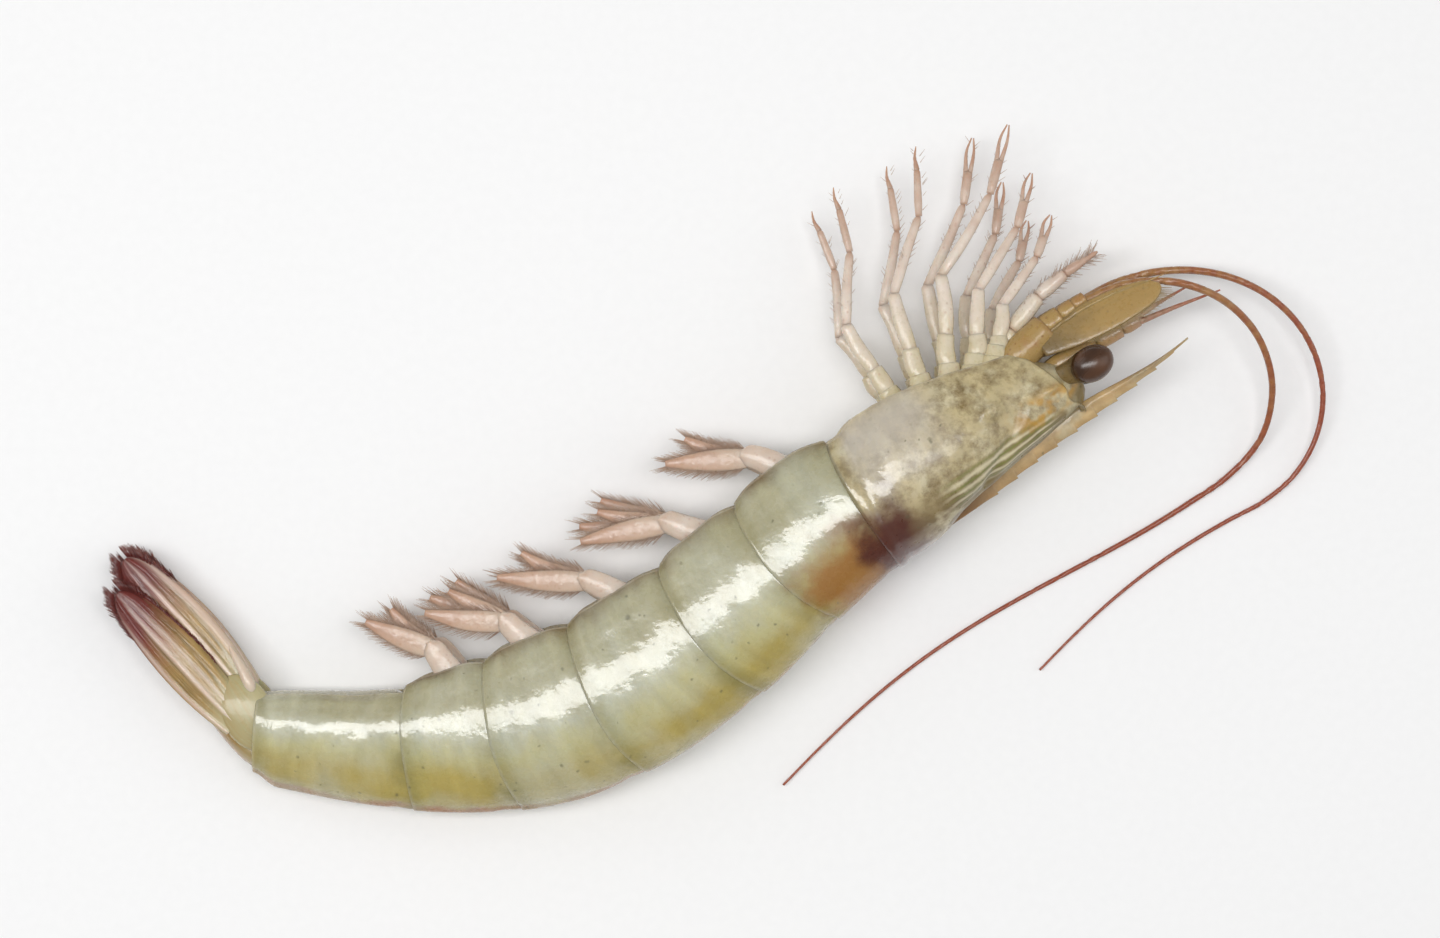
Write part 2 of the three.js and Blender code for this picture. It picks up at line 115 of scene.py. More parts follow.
SWIMMERETS_AT = 0.45  # how far along its ring a pair comes out
TAIL_BLADES = {
    # root and tip in the tail's frame, half width, and how far off the middle it lies
    "inner": ((2.2, 0.6), (23.0, 2.0), 2.9, 3.1),
    "outer": ((4.6, -1.9), (25.6, -0.9), 3.2, 2.1),
}
# The crest's line in the head's frame, and the line of the tail's middle plate in the tail's frame.
CREST = (
    (6.5, -7.9, 0), (13.0, -7.45, 0), (20.0, -6.4, 0), (27.5, -5.55, 0), (35.0, -4.65, 0), (42.5, -3.4, 0),
)
ROSTRUM_TEETH = 11
TELSON = ((-4.0, -0.4, 0), (-2.0, 1.3, 0), (1.0, 2.0, 0), (5.0, 2.4, 0), (10.5, 2.9, 0), (21, 3.0, 0))
SIDES = (("left", 1), ("right", -1))

FRAME_WIDTH = 168  # what the camera takes in, at the height of the body's line
LINE_HEIGHT = 8  # of the body's line above the floor
LENS, SENSOR = 100, 36


def linear(code):
    """The linear colour of an sRGB hex value."""
    parts = (int(code[i:i + 2], 16) / 255 for i in (0, 2, 4))
    return tuple(p / 12.92 if p <= 0.04045 else ((p + 0.055) / 1.055) ** 2.4 for p in parts)


def colour(name, description, code):
    """A colour that a user can change, from its sRGB hex value."""
    return FloatVectorProperty(
        name=name, description=description, subtype="COLOR", size=3, min=0, max=1, default=linear(code)
    )


def size(name, description, millimetres):
    """A length that a user can change."""
    return FloatProperty(
        name=name, description=description, default=millimetres * MM, min=0, unit="LENGTH", precision=5
    )


class ShrimpSizes(bpy.types.PropertyGroup):
    """The sizes of the shrimp's fine parts."""

    rim: size("Rim", "Thickness of a shell plate at its rim", 0.34)
    ripple: size("Ripple", "Height of the soft ripples in the shell", 0.1)
    keel: size("Keel", "Height of the keel along the back of the last rings", 0.5)
    tooth: size("Tooth", "Height of the teeth on the rostrum", 0.28)
    rostrum_width: size("Rostrum Width", "Thickness of the rostrum at its root", 1.4)
    hair: size("Hair", "Radius of a hair of the fringes", 0.075)
    feeler: size("Feeler", "Radius of the long feelers at their root", 0.5)
    fringe_density: IntProperty(
        name="Fringe Density", description="Hairs along each edge of a blade of the tail fan",
        default=120, min=0,
    )


class ShrimpColours(bpy.types.PropertyGroup):
    """The colours of the shrimp."""

    back_line: colour("Back Line", "Orange tan line along the very back", "a26c36")
    back: colour("Back", "Olive yellow of the back", "b1a05a")
    shoulder: colour("Shoulder", "Paler olive between the back and the flank", "beb888")
    flank: colour("Flank", "Grey green of the middle of the flank", "bebea8")
    belly: colour("Belly", "Grey olive of the side plates", "a8a383")
    hem: colour("Hem", "Brownish lower edge of the side plates", "77674b")
    speck: colour("Specks", "Dark olive pigment specks", "56543a")
    # On the head shell this colour is also painted along the groove beside the crest, as shade.
    band: colour("Band", "Dark olive band where a plate goes under the next", "857c48")
    orange: colour("Liver", "Orange brown of the liver through the shell", "98601e")
    maroon: colour("Stomach", "Dark maroon of the stomach through the shell", "4f1a09")
    head: colour("Head", "Olive tan of the head shell", "bfb088")
    cream: colour("Cream", "Pale cream patches and stripes of the head shell", "d3c9a8")
    head_mottle: colour("Head Mottle", "Olive brown mottling of the head shell", "7b6742")
    stripe: colour("Stripe", "Moss green of the stripes along the crest", "7d7d45")
    brow: colour("Brow", "Orange yellow of the spots behind the eye", "bd913f")
    gill: colour("Gill Cover", "Pale grey of the gill covers", "c3bbae")
    crest: colour("Crest", "Pinkish tan of the crest and the rostrum", "d0b484")
    crest_edge: colour("Crest Edge", "Brown of the crest's teeth and of its rear end", "7a5a3c")
    limb_root: colour("Limb Root", "Yellowish cream of the legs' hips", "c9bc98")
    limb: colour("Limb", "Pinkish white of the legs", "dccfc1")
    limb_tip: colour("Limb Tip", "Pinkish brown of the legs' ends", "b48f78")
    swimmeret: colour("Swimmeret", "Pinkish tan of the swimmerets", "c9ae98")
    tail_root: colour("Tail Root", "Olive cream at the root of the tail fan", "b3aa80")
    tail: colour("Tail", "Gold brown of the tail fan", "a3854f")
    # Partly the ribs' own paler colour and partly a painted highlight along them.
    tail_rib_and_highlight: colour("Tail Rib", "Whitish pink of the stiff ribs", "e0cabc")
    tail_tip: colour("Tail Tip", "Dark red of the fan's tips", "6b2a24")
    feeler: colour("Feeler", "Brownish red of the feelers", "9a5238")
    scale: colour("Antennal Scale", "Gold brown of the antennal scales", "a88a54")
    eye: colour("Eye", "Dark brown of the eyes", "3a2415")
    floor: colour("Floor", "Near white of the floor", "f4f4f4")


# ---- The body's line --------------------------------------------------------------------------------


def clamp(value, low=0.0, high=1.0):
    return max(low, min(high, value))


def lerp(a, b, share):
    return a + (b - a) * share


def smooth(value, low=0.0, high=1.0):
    share = clamp((value - low) / (high - low))
    return share * share * (3 - 2 * share)


def bump(value, middle, width):
    """A soft bump of height 1 round the middle."""
    return math.exp(-(((value - middle) / width) ** 2))


def girth_row(station):
    """A row of the girth table at a station, on a smooth curve through the rows."""
    at = clamp(station, GIRTH[0][AT], GIRTH[-1][AT])
    after = max(1, next((i for i, row in enumerate(GIRTH) if row[AT] > at), len(GIRTH) - 1))
    a, b = GIRTH[after - 1], GIRTH[after]
    before, beyond = GIRTH[max(after - 2, 0)], GIRTH[min(after + 1, len(GIRTH) - 1)]
    span = b[AT] - a[AT]
    t = (at - a[AT]) / span
    made = [at]
    for key in (BACK, BELLY, HALF, BOW):
        slope_a = (b[key] - before[key]) / (b[AT] - before[AT])
        slope_b = (beyond[key] - a[key]) / (beyond[AT] - a[AT])
        pull = t * (1 - t) * (1 - t) * slope_a - t * t * (1 - t) * slope_b
        made.append(lerp(a[key], b[key], t * t * (3 - 2 * t)) + span * pull)
    return made


RING_STARTS = [0.0]
for ring_length, _heading in RINGS:
    RING_STARTS.append(RING_STARTS[-1] + ring_length)
TAIL_STATION = RING_STARTS[-1]
ORIGIN_STATION = (RING_STARTS[2] + RING_STARTS[3]) / 2
HEADINGS = [(0.0, HEAD_HEADING)] + [
    (RING_STARTS[i] + length / 2, heading) for i, (length, heading) in enumerate(RINGS)
]


def heading_at(station):
    """The direction of the body's line, tailwards, in degrees."""
    if station <= 0:
        return HEAD_HEADING
    for (a, turned_a), (b, turned_b) in zip(HEADINGS, HEADINGS[1:]):
        if station < b:
            return lerp(turned_a, turned_b, (station - a) / (b - a))
    return HEADINGS[-1][1]


LINE_FROM, LINE_TO, LINE_STEP = -34.0, 86.0, 0.1  # stations


def walk_line():
    """Place, direction and girth at every step of the body's line, found by walking from the origin."""
    count = round((LINE_TO - LINE_FROM) / LINE_STEP) + 1
    stations = [LINE_FROM + i * LINE_STEP for i in range(count)]
    start = min(range(count), key=lambda i: abs(stations[i] - ORIGIN_STATION))
    places = [(0.0, 0.0)] * count
    lead = stations[start] - ORIGIN_STATION
    turned = math.radians(heading_at(ORIGIN_STATION + lead / 2))
    places[start] = (lead * math.cos(turned), lead * math.sin(turned))
    for way, stop in ((1, count), (-1, -1)):
        for i in range(start + way, stop, way):
            turned = math.radians(heading_at((stations[i] + stations[i - way]) / 2))
            x, y = places[i - way]
            step = way * LINE_STEP
            places[i] = (x + step * math.cos(turned), y + step * math.sin(turned))
    line = []
    for station, (x, y) in zip(stations, places):
        line.append((x, y, math.radians(heading_at(station)), *girth_row(station)[1:]))
    return line


LINE = walk_line()


def line_at(station):
    """x, y, direction, back, belly, half and bow at a station."""
    at = clamp((station - LINE_FROM) / LINE_STEP, 0, len(LINE) - 1.001)
    a, b = LINE[int(at)], LINE[int(at) + 1]
    share = at - int(at)
    return [lerp(p, q, share) for p, q in zip(a, b)]


def height_at(station):
    """How high the body's line lies above the floor."""
    *_rest, half, _bow = line_at(max(station, 0))
    return half - SAG


def frame_at(station, degrees):
    """A frame whose x axis runs along the body's line."""
    x, y = line_at(station)[:2]
    return Matrix.Translation((x, y, height_at(station))) @ Matrix.Rotation(math.radians(degrees), 4, "Z")


HEAD_FRAME = frame_at(0, HEAD_HEADING - 180)


def left_of(way):
    """The direction a quarter turn to the left of another, in the plane of the body."""
    return Vector((-way.y, way.x, 0))


# ---- The body's section -----------------------------------------------------------------------------

# Shares of the way from the back, 0, to the middle of the belly, 1, at which the flank is widest,
# the side plate ends, its edge is rounded, and its inner wall meets the underside.
SHARE_FLANK, SHARE_PLATE, SHARE_EDGE, SHARE_WALL = 0.46, 0.80, 0.84, 0.90
INNER_WALL = SIDE_PLATE + 8  # degrees round to where the inner wall meets the underside
WALL_FOOT = UNDERSIDE + 0.02  # how deep it meets it
WALL_LEAN = 0.3
# From here to there the body turns into the last ring, whose flank is flatter, squarer and lower.
TAIL_FROM, TAIL_TO = 46, 64
TAIL_SQUARER, TAIL_LOWER = 0.38, 0.3


def section(share, girth, fill, lobe, keel, wall):
    """How far out to the side and how far to the back a point of the section lies, and its angle."""
    back, belly, half, tail = girth
    if share <= SHARE_FLANK:
        angle = 90 * share / SHARE_FLANK
        turned = math.radians(angle)
        side = half * math.sin(turned) ** (0.95 - TAIL_SQUARER * tail)
        up = back * math.cos(turned) + keel * bump(angle, 0, 7)
    elif share <= SHARE_PLATE:
        down = (share - SHARE_FLANK) / (SHARE_PLATE - SHARE_FLANK)
        angle = lerp(90, SIDE_PLATE, down)
        sunk = math.sin(down * math.pi / 2)
        side = half * math.sqrt(1 - (1 - EDGE_WIDTH**2) * sunk * sunk)
        up = -belly * lobe * sunk
    elif share <= SHARE_EDGE:
        angle = SIDE_PLATE
        round_it = (share - SHARE_PLATE) / (SHARE_EDGE - SHARE_PLATE) * math.pi
        side = half * EDGE_WIDTH - wall / 2 * (1 - math.cos(round_it))
        up = -belly * lobe - wall / 2 * math.sin(round_it)
    elif share <= SHARE_WALL:
        rise = (share - SHARE_EDGE) / (SHARE_WALL - SHARE_EDGE)
        angle = lerp(SIDE_PLATE, INNER_WALL, rise)
        side = half * EDGE_WIDTH - wall - WALL_LEAN * rise
        up = -belly * lerp(lobe, min(lobe, WALL_FOOT), smooth(rise))
    else:
        inward = (share - SHARE_WALL) / (1 - SHARE_WALL)
        angle = lerp(INNER_WALL, 180, inward)
        side = (half * EDGE_WIDTH - wall - WALL_LEAN) * (1 - inward)
        up = -belly * lerp(min(lobe, WALL_FOOT), UNDERSIDE, smooth(inward))
    if angle < SIDE_PLATE:
        up -= TAIL_LOWER * tail * belly * math.sin(math.pi * angle / SIDE_PLATE) ** 2
    return side * fill, up * fill, angle


def skin_point(station, around, fill, lobe, keel, wall, swell=None, slant=None):
    """A point of the body's skin, its angle round from the back, and which flank it is on.

    fill shrinks the section, swell says how far the skin stands out at a place, and slant how far it
    is shifted tailwards at an angle."""
    share = around / math.pi if around <= math.pi else 2 - around / math.pi
    hand = 1 if around <= math.pi else -1
    # The angle at a share is the same on every section, so a plain one gives it.
    angle = section(share, (1, 1, 1, 0), fill=1, lobe=1, keel=0, wall=0)[2]
    if slant:
        station += slant(angle) * fill
    *_rest, bow = line_at(station)
    bowed = station + bow * math.sin(math.radians(angle)) ** 2
    x, y, turned, back, belly, half, _bow = line_at(bowed)
    tail = smooth(station, TAIL_FROM, TAIL_TO)
    side, up, angle = section(share, (back, belly, half, tail), fill, lobe, keel, wall)
    if swell:
        out = swell(station, angle, hand) / (math.hypot(side, up) + 1e-6)
        side += side * out
        up += up * out
    z = max(height_at(bowed) + hand * side, 0.0)
    return Vector((x - math.sin(turned) * up, y + math.cos(turned) * up, z)), angle, hand


# ---- Making closed shapes ---------------------------------------------------------------------------

# What is kept on the points for the materials. On the shell, lie is the station, the angle round from
# the back as a share of half a turn, and the flank; marks say how strongly the liver, the stomach and
# the pale parts show; rims are the distances to the plate in front, to the plate's own rim and to its
# lower edge. On the head shell the first distance is to the groove beside the crest, where shade is
# painted. On a limb, lie starts with the share of its length, and marks with the joints and hairs.
LAYERS = ("lie", "marks", "rims")


def ball_net(bm, sides, rows, place):
    """Adds a closed skin: the points of a ball, each put where place(row, around) says.

    The first and last rows are the poles, in the middle of the two ends. place also gives up to
    three vectors that are kept on the point for the material."""
    layers = bm.verts.layers.float_vector
    kept = [layers.get(name) or layers.new(name) for name in LAYERS]
    made = bmesh.ops.create_uvsphere(bm, u_segments=sides, v_segments=rows, radius=1)["verts"]
    for vert in made:
        x, y, z = vert.co
        row = round(math.acos(clamp(z, -1, 1)) / math.pi * rows)
        around = math.atan2(y, x) % (2 * math.pi)
        column = round(around * sides / (2 * math.pi)) % sides
        point, *values = place(row, 0.0 if row in (0, rows) else column * 2 * math.pi / sides)
        vert.co = point
        for layer, value in zip(kept, values):
            vert[layer] = value
    faces = {face for vert in made for face in vert.link_faces}
    volume = 0
    for face in faces:
        face.normal_update()
        volume += face.calc_center_median().dot(face.normal) * face.calc_area()
    if volume < 0:
        bmesh.ops.reverse_faces(bm, faces=list(faces))
    return made


class Route:
    """A smooth curve through points, walked by its length."""

    STEPS = 12  # from one point to the next

    def __init__(self, points):
        points = [Vector(p) for p in points]
        ends = [points[0] * 2 - points[1], *points, points[-1] * 2 - points[-2]]
        self.points = []
        for a, b, c, d in zip(ends, ends[1:], ends[2:], ends[3:]):
            handles = b + (c - a) / 6, c - (d - b) / 6
            self.points += geometry.interpolate_bezier(b, *handles, c, self.STEPS)[:-1]
        self.points.append(points[-1])
        self.lengths = [0.0]
        for a, b in zip(self.points, self.points[1:]):
            self.lengths.append(self.lengths[-1] + (b - a).length)

    @property
    def length(self):
        return self.lengths[-1]

    def at(self, along):
        """The point and the direction at a share of the length."""
        want = clamp(along) * self.length
        i = next((k for k, far in enumerate(self.lengths) if far > want), len(self.lengths) - 1)
        i = max(i, 1)
        a, b = self.points[i - 1], self.points[i]
        share = (want - self.lengths[i - 1]) / (self.lengths[i] - self.lengths[i - 1] + 1e-9)
        before = self.points[max(i - 2, 0)]
        beyond = self.points[min(i + 1, len(self.points) - 1)]
        tangent = (b - before).normalized().lerp((beyond - a).normalized(), share).normalized()
        return a.lerp(b, clamp(share)), tangent


def tube(bm, route, girth, rows, sides=12, marks=None, across=Vector((0, 0, 1))):
    """Adds a closed limb along a route. girth(along) is its half width in the plane of the body and
    its half thickness across it, and marks(along, around) what the material reads."""
    route = route if isinstance(route, Route) else Route(route)
    stops = []
    for row in range(rows + 1):
        along = clamp((row - 1) / (rows - 2))
        point, tangent = route.at(along)
        wide = across.cross(tangent)
        wide = wide.normalized() if wide.length > 1e-4 else Vector((1, 0, 0))
        stops.append((along, point, wide, tangent.cross(wide), girth(along)))

    def place(row, around):
        along, point, wide, deep, (half, thick) = stops[row]
        if row not in (0, rows):
            point = point + wide * half * math.cos(around) + deep * thick * math.sin(around)
        return (point, *(marks(along, around) if marks else ((along, math.cos(around), math.sin(around)),)))

    ball_net(bm, sides, rows, place)


def away(start, length, degrees, rise=0.0):
    """The point at a length and a direction in the plane of the body, raised across it."""
    turned = math.radians(degrees)
    return start + Vector((length * math.cos(turned), length * math.sin(turned), rise))


def article(bm, a, b, radius_a, radius_b, flat, bow=(0, 0, 0), rows=16, share=(0.0, 1.0)):
    """Adds one article of a limb: narrow at its root, fuller in the middle, and rounded at its end.

    share is the part of the limb that it takes up, for the material."""
    a, b = Vector(a), Vector(b)

    def girth(along):
        radius = lerp(radius_a, radius_b, along) * (0.84 + 0.16 * smooth(along, 0, 0.3))
        radius *= 1 + 0.1 * math.sin(math.pi * along) + 0.05 * bump(along, 0.9, 0.08)
        radius *= 1 - 0.45 * smooth(along, 0.92, 1.0) ** 2
        return radius, radius * flat

    def marks(along, around):
        joint = max(bump(along, 0, 0.07), bump(along, 1, 0.06))
        return (lerp(share[0], share[1], along), math.cos(around), math.sin(around)), (joint, 0, 0)

    tube(bm, (a, (a + b) / 2 + Vector(bow), b), girth, rows, marks=marks)


def hairs(bm, strands, radius, shade=(0.7, 1.0)):
    """Adds fine tapering hairs, each from a root to a tip."""
    lie, marks = (bm.verts.layers.float_vector.get(name) for name in LAYERS[:2])
    for root, tip in strands:
        lean = tip - root
        turned = lean.to_track_quat("Z", "Y").to_matrix().to_4x4()
        made = bmesh.ops.create_cone(
            bm, cap_ends=True, segments=3, radius1=radius, radius2=radius * 0.3, depth=lean.length,
            matrix=Matrix.Translation((root + tip) / 2) @ turned,
        )
        for vert in made["verts"]:
            out = (vert.co - root).length / lean.length
            vert[lie] = (lerp(shade[0], shade[1], clamp(out)), 0, 0)
            vert[marks] = (0, 1, 0)


def piece(bm, name, materials, node, placed=Matrix()):
    """Makes the finished mesh an object that stands for a CAD node, on the object's one body."""
    bmesh.ops.transform(bm, matrix=Matrix.Scale(MM, 4) @ placed, verts=bm.verts)
    mesh = bpy.data.meshes.new(name)
    bm.to_mesh(mesh)
    bm.free()
    for material in materials:
        mesh.materials.append(material)
    mesh.polygons.foreach_set("use_smooth", [True] * len(mesh.polygons))
    made = bpy.data.objects.new(name, mesh)
    bpy.context.collection.objects.link(made)
    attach(made, "root")
    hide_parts(node)


# ---- Materials --------------------------------------------------------------------------------------

# Settings that many nodes share.
SOFT = {"interpolation_type": "SMOOTHSTEP"}
OVER = {"data_type": "RGBA"}
TINT = {"data_type": "RGBA", "blend_type": "MULTIPLY"}
TIMES = {"operation": "MULTIPLY"}
PLUS = {"operation": "ADD"}
TIMES_PLUS = {"operation": "MULTIPLY_ADD"}
LARGER = {"operation": "MAXIMUM"}

CHITIN_IOR = 1.45
WATER_IOR = 1.35  # of the film of water on the limbs, the tail fan and the eyes


def add(tree, kind, settings=None, inputs=None, out=0, stops=None):
    """Adds a node with its settings and links, and gives back one of its outputs."""
    made = tree.nodes.new("ShaderNode" + kind)
    for key, value in (settings or {}).items():
        setattr(made, key, value)
    for key, value in (inputs or {}).items():
        if isinstance(value, bpy.types.NodeSocket):
            tree.links.new(value, made.inputs[key])
        else:
            made.inputs[key].default_value = value
    if stops:
        elements = made.color_ramp.elements
        elements.remove(elements[1])
        for i, (position, shade) in enumerate(stops):
            element = elements[0] if i == 0 else elements.new(position)
            element.position = position
            element.color = (*shade, 1)
    return made.outputs[out] if made.outputs else made


def per(millimetres):
    """The scale of a pattern that repeats at this many millimetres."""
    return 1 / (millimetres * MM)


def new_tree(name):
    material = bpy.data.materials.new(name)
    material.use_nodes = True
    material.node_tree.nodes.clear()
    return material, material.node_tree


def kept_on_points(tree, names):
    """The numbers that ball_net kept on the points, as three outputs for each name."""
    kept = [add(tree, "Attribute", {"attribute_name": name}, out="Vector") for name in names]
    return [add(tree, "SeparateXYZ", inputs={0: vector}).node.outputs for vector in kept]


def head_pattern(tree, hues, spot, mottle, lie):
    """What lies over the head shell's own colour, as amounts and colours: cream clouds, brown blotches,
    stripes along the crest, spots behind the eye, and the browner ends and teeth of the crest."""

    def masked(value, masks):
        """The value times soft steps: of what, where a step is 0, where it is full, and how high."""
        for source, none, full, most in masks:
            step = add(tree, "MapRange", SOFT, {0: source, 1: none, 2: full, 3: 0.0, 4: most})
            value = add(tree, "Math", {"operation": "MULTIPLY", "use_clamp": True}, {0: value, 1: step})
        return value

    cloudy = add(tree, "MapRange", inputs={0: mottle, 1: 0.48, 2: 0.62, 3: 0.0, 4: 0.75})
    blotch = add(tree, "TexNoise", inputs={
        "Vector": spot, "Scale": per(2.1), "Detail": 6.0, "Roughness": 0.72,
    })
    blotch = add(tree, "MapRange", inputs={0: blotch, 1: 0.41, 2: 0.64, 3: 0.0, 4: 0.85})
    plain = add(tree, "MapRange", inputs={0: lie[1], 1: -0.1, 2: 0.04, 3: 0.35, 4: 1.0})
    layers = [(cloudy, hues.cream), (add(tree, "Math", TIMES, {0: blotch, 1: plain}), hues.head_mottle)]

    # Green and cream stripes, 0.9 mm apart, run along the crest.
    phase = add(tree, "Math", TIMES_PLUS, {0: mottle, 1: 4.0, 2: -2.0})
    phase = add(tree, "Math", TIMES_PLUS, {0: lie[1], 1: 125.0, 2: phase})
    wave = add(tree, "Math", {"operation": "SINE"}, {0: phase})
    for way, hue in ((1.0, hues.stripe), (-1.0, hues.cream)):
        stripe = masked(add(tree, "Math", TIMES, {0: wave, 1: way}), (
            (lie[1], 0.17, 0.22, 1.0), (lie[1], 0.42, 0.33, 1.0),
            (lie[0], -7.0, -11.0, 0.95), (lie[0], -26.0, -22.0, 1.0),
        ))
        layers.append((stripe, hue))

    spotty = add(tree, "TexNoise", inputs={"Vector": spot, "Scale": per(1.9), "Detail": 2.0})
    spotty = add(tree, "MapRange", inputs={0: spotty, 1: 0.4, 2: 0.56, 3: 0.0, 4: 0.85})
    spotty = masked(spotty, (
        (lie[0], -18.0, -22.0, 1.0), (lie[1], 0.54, 0.46, 1.0), (lie[1], 0.28, 0.36, 1.0),
    ))
    layers.append((spotty, hues.brow))

    edge = add(tree, "MapRange", SOFT, {0: lie[0], 1: -20.0, 2: -9.0, 3: 0.0, 4: 0.9})
    for brown in (
        add(tree, "MapRange", inputs={0: lie[1], 1: -0.26, 2: -0.3, 3: 0.0, 4: 0.5}),
        add(tree, "MapRange", SOFT, {0: lie[0], 1: -25.0, 2: -38.0, 3: 0.0, 4: 0.5}),
    ):
        edge = add(tree, "Math", LARGER, {0: edge, 1: brown})
    layers.append((masked(edge, ((lie[1], -0.1, -0.15, 1.0),)), hues.crest_edge))
    return layers


def chitin(name, hues, on_head):
    """Wet chitin of a raw shrimp, moulded by the animal itself as a thin, clear shell.

    It is glassy and slightly uneven over translucent flesh, so that the eye sees a soft olive body
    colour, a sharp ragged gleam, and small dark pigment specks that lie in the skin below."""
    material, tree = new_tree(name)
    spot = add(tree, "TexCoord", out="Object")
    lie, marks, rims = kept_on_points(tree, LAYERS)
    mottle = add(tree, "TexNoise", inputs={"Vector": spot, "Scale": per(3.4), "Detail": 3.0})
    grain = add(tree, "TexNoise", inputs={"Vector": spot, "Scale": per(0.8), "Detail": 2.0})
    # Flesh fibres run round the body, so this noise is stretched along the girth.
    stretched = add(tree, "CombineXYZ", inputs={
        0: add(tree, "Math", TIMES, {0: lie[0], 1: 0.55}),
        1: add(tree, "Math", TIMES, {0: lie[1], 1: 3.2}),
        2: lie[2],
    })
    fibres = add(tree, "TexNoise", inputs={"Vector": stretched, "Scale": 1.0, "Detail": 3.0})

    if on_head:
        # The olive brown from 0.1 to 0.24 round from the back, beside the crest, is partly the shell's own
        # colour and partly painted shade in the groove there.
        stops = ((0.02, hues.crest), (0.1, hues.head_mottle), (0.24, hues.head_mottle), (0.38, hues.head))
        layers = head_pattern(tree, hues, spot, mottle, lie)
    else:
        stops = (
            (0.035, hues.back_line), (0.085, hues.back), (0.27, hues.back), (0.38, hues.shoulder),
            (0.49, hues.flank), (0.6, hues.belly), (0.7, hues.belly), (0.8, hues.hem),
        )
        # Clouds of paler flesh.
        cloud = add(tree, "TexNoise", inputs={"Vector": spot, "Scale": per(8.5), "Detail": 2.0})
        cloudy = add(tree, "MapRange", inputs={0: cloud, 1: 0.4, 2: 0.62, 3: 0.0, 4: 0.5})
        layers = [(cloudy, hues.flank)]
    # The gill covers, and the firm bars of the underside, are pale; the rest of the underside is painted a
    # little paler than its corners beside the side plates, which stay darker as painted shade.
    layers.append((add(tree, "Math", TIMES, {0: marks[2], 1: 0.8}), hues.gill))
    wander = add(tree, "Math", TIMES_PLUS, {0: mottle, 1: 0.16, 2: -0.08})
    round_body = add(tree, "Math", PLUS, {0: lie[1], 1: wander})
    base = add(tree, "ValToRGB", inputs={0: round_body}, stops=stops)
    for amount, hue in layers:
        base = add(tree, "Mix", OVER, {0: amount, 6: base, 7: (*hue, 1)}, out=2)
    fibrous = add(tree, "MapRange", inputs={0: fibres, 1: 0.35, 2: 0.7, 3: 0.9, 4: 1.08})
    fibrous = add(tree, "CombineXYZ", inputs={0: fibrous, 1: fibrous, 2: fibrous})
    base = add(tree, "Mix", TINT, {0: 1.0, 6: base, 7: fibrous}, out=2)

    # The olive band behind the rim of the plate in front. On the head shell the same band lies along the
    # groove beside the crest, as painted shade.
    band = add(tree, "MapRange", inputs={0: rims[0], 1: 0.4, 2: 2.6, 3: 0.75, 4: 0.0})
    band = add(tree, "Math", TIMES, {
        0: band, 1: add(tree, "MapRange", inputs={0: mottle, 1: 0.35, 2: 0.6, 3: 0.2, 4: 1.0}),
    })
    if not on_head:
        band = add(tree, "Math", TIMES, {
            0: band, 1: add(tree, "MapRange", inputs={0: lie[1], 1: 0.34, 2: 0.52, 3: 1.0, 4: 0.3}),
        })
    layers = [(band, hues.band)]
    # Thin lines run along the rims.
    for rim, far, near, most, hue in (
        (rims[1], 2.2, 0.3, 0.2 if on_head else 0.45, hues.band),
        (rims[1], 0.35, 0.12, 0.55 if on_head else 0.14, hues.speck if on_head else hues.gill),
        (rims[2], 0.5, 0.15, 0.25, hues.gill),
    ):
        layers.append((add(tree, "MapRange", SOFT, {0: rim, 1: far, 2: near, 3: 0.0, 4: most}), hue))

    # The liver and the stomach show through as soft coloured patches.
    uneven = add(tree, "MapRange", inputs={0: mottle, 1: 0.25, 2: 0.7, 3: -0.22, 4: 0.22})
    for mark, depth, hue in ((marks[0], 0.85, hues.orange), (marks[1], 0.97, hues.maroon)):
        patch = add(tree, "Math", PLUS, {0: mark, 1: uneven})
        layers.append((add(tree, "MapRange", SOFT, {0: patch, 1: 0.15, 2: 0.95, 3: 0.0, 4: depth}), hue))

    # Pigment specks, 0.2 to 0.4 mm across and uneven in outline, in about a third of the cells.
    shaken = add(tree, "VectorMath", TIMES_PLUS, {
        0: grain.node.outputs["Color"], 1: (0.7 * MM,) * 3, 2: spot,
    })
    for spacing, reach, share in ((1.5, 0.15, 0.62), (2.7, 0.13, 0.5)):
        cell = add(tree, "TexVoronoi", inputs={"Vector": shaken, "Scale": per(spacing)}, out="Distance")
        chosen = add(tree, "SeparateXYZ", inputs={0: cell.node.outputs["Color"]})
        chosen = add(tree, "Math", {"operation": "GREATER_THAN"}, {0: chosen, 1: share})
        speck = add(tree, "MapRange", inputs={0: cell, 1: reach * 0.3, 2: reach, 3: 0.6, 4: 0.0})
        layers.append((add(tree, "Math", TIMES, {0: speck, 1: chosen}), hues.speck))
    for amount, hue in layers:
        base = add(tree, "Mix", OVER, {0: amount, 6: base, 7: (*hue, 1)}, out=2)

    smoothest, roughest = (0.26, 0.44) if on_head else (0.2, 0.36)
    rough = add(tree, "MapRange", inputs={0: grain, 1: 0.3, 2: 0.7, 3: smoothest, 4: roughest})
    soft = add(tree, "Bump", inputs={"Strength": 1.0, "Distance": 0.08 * MM, "Height": mottle})
    soft = add(tree, "Bump", inputs={
        "Strength": 1.0, "Distance": 0.035 * MM, "Height": fibres, "Normal": soft,
    })
    fine = add(tree, "Bump", inputs={"Strength": 1.0, "Distance": 0.03 * MM, "Height": grain, "Normal": soft})
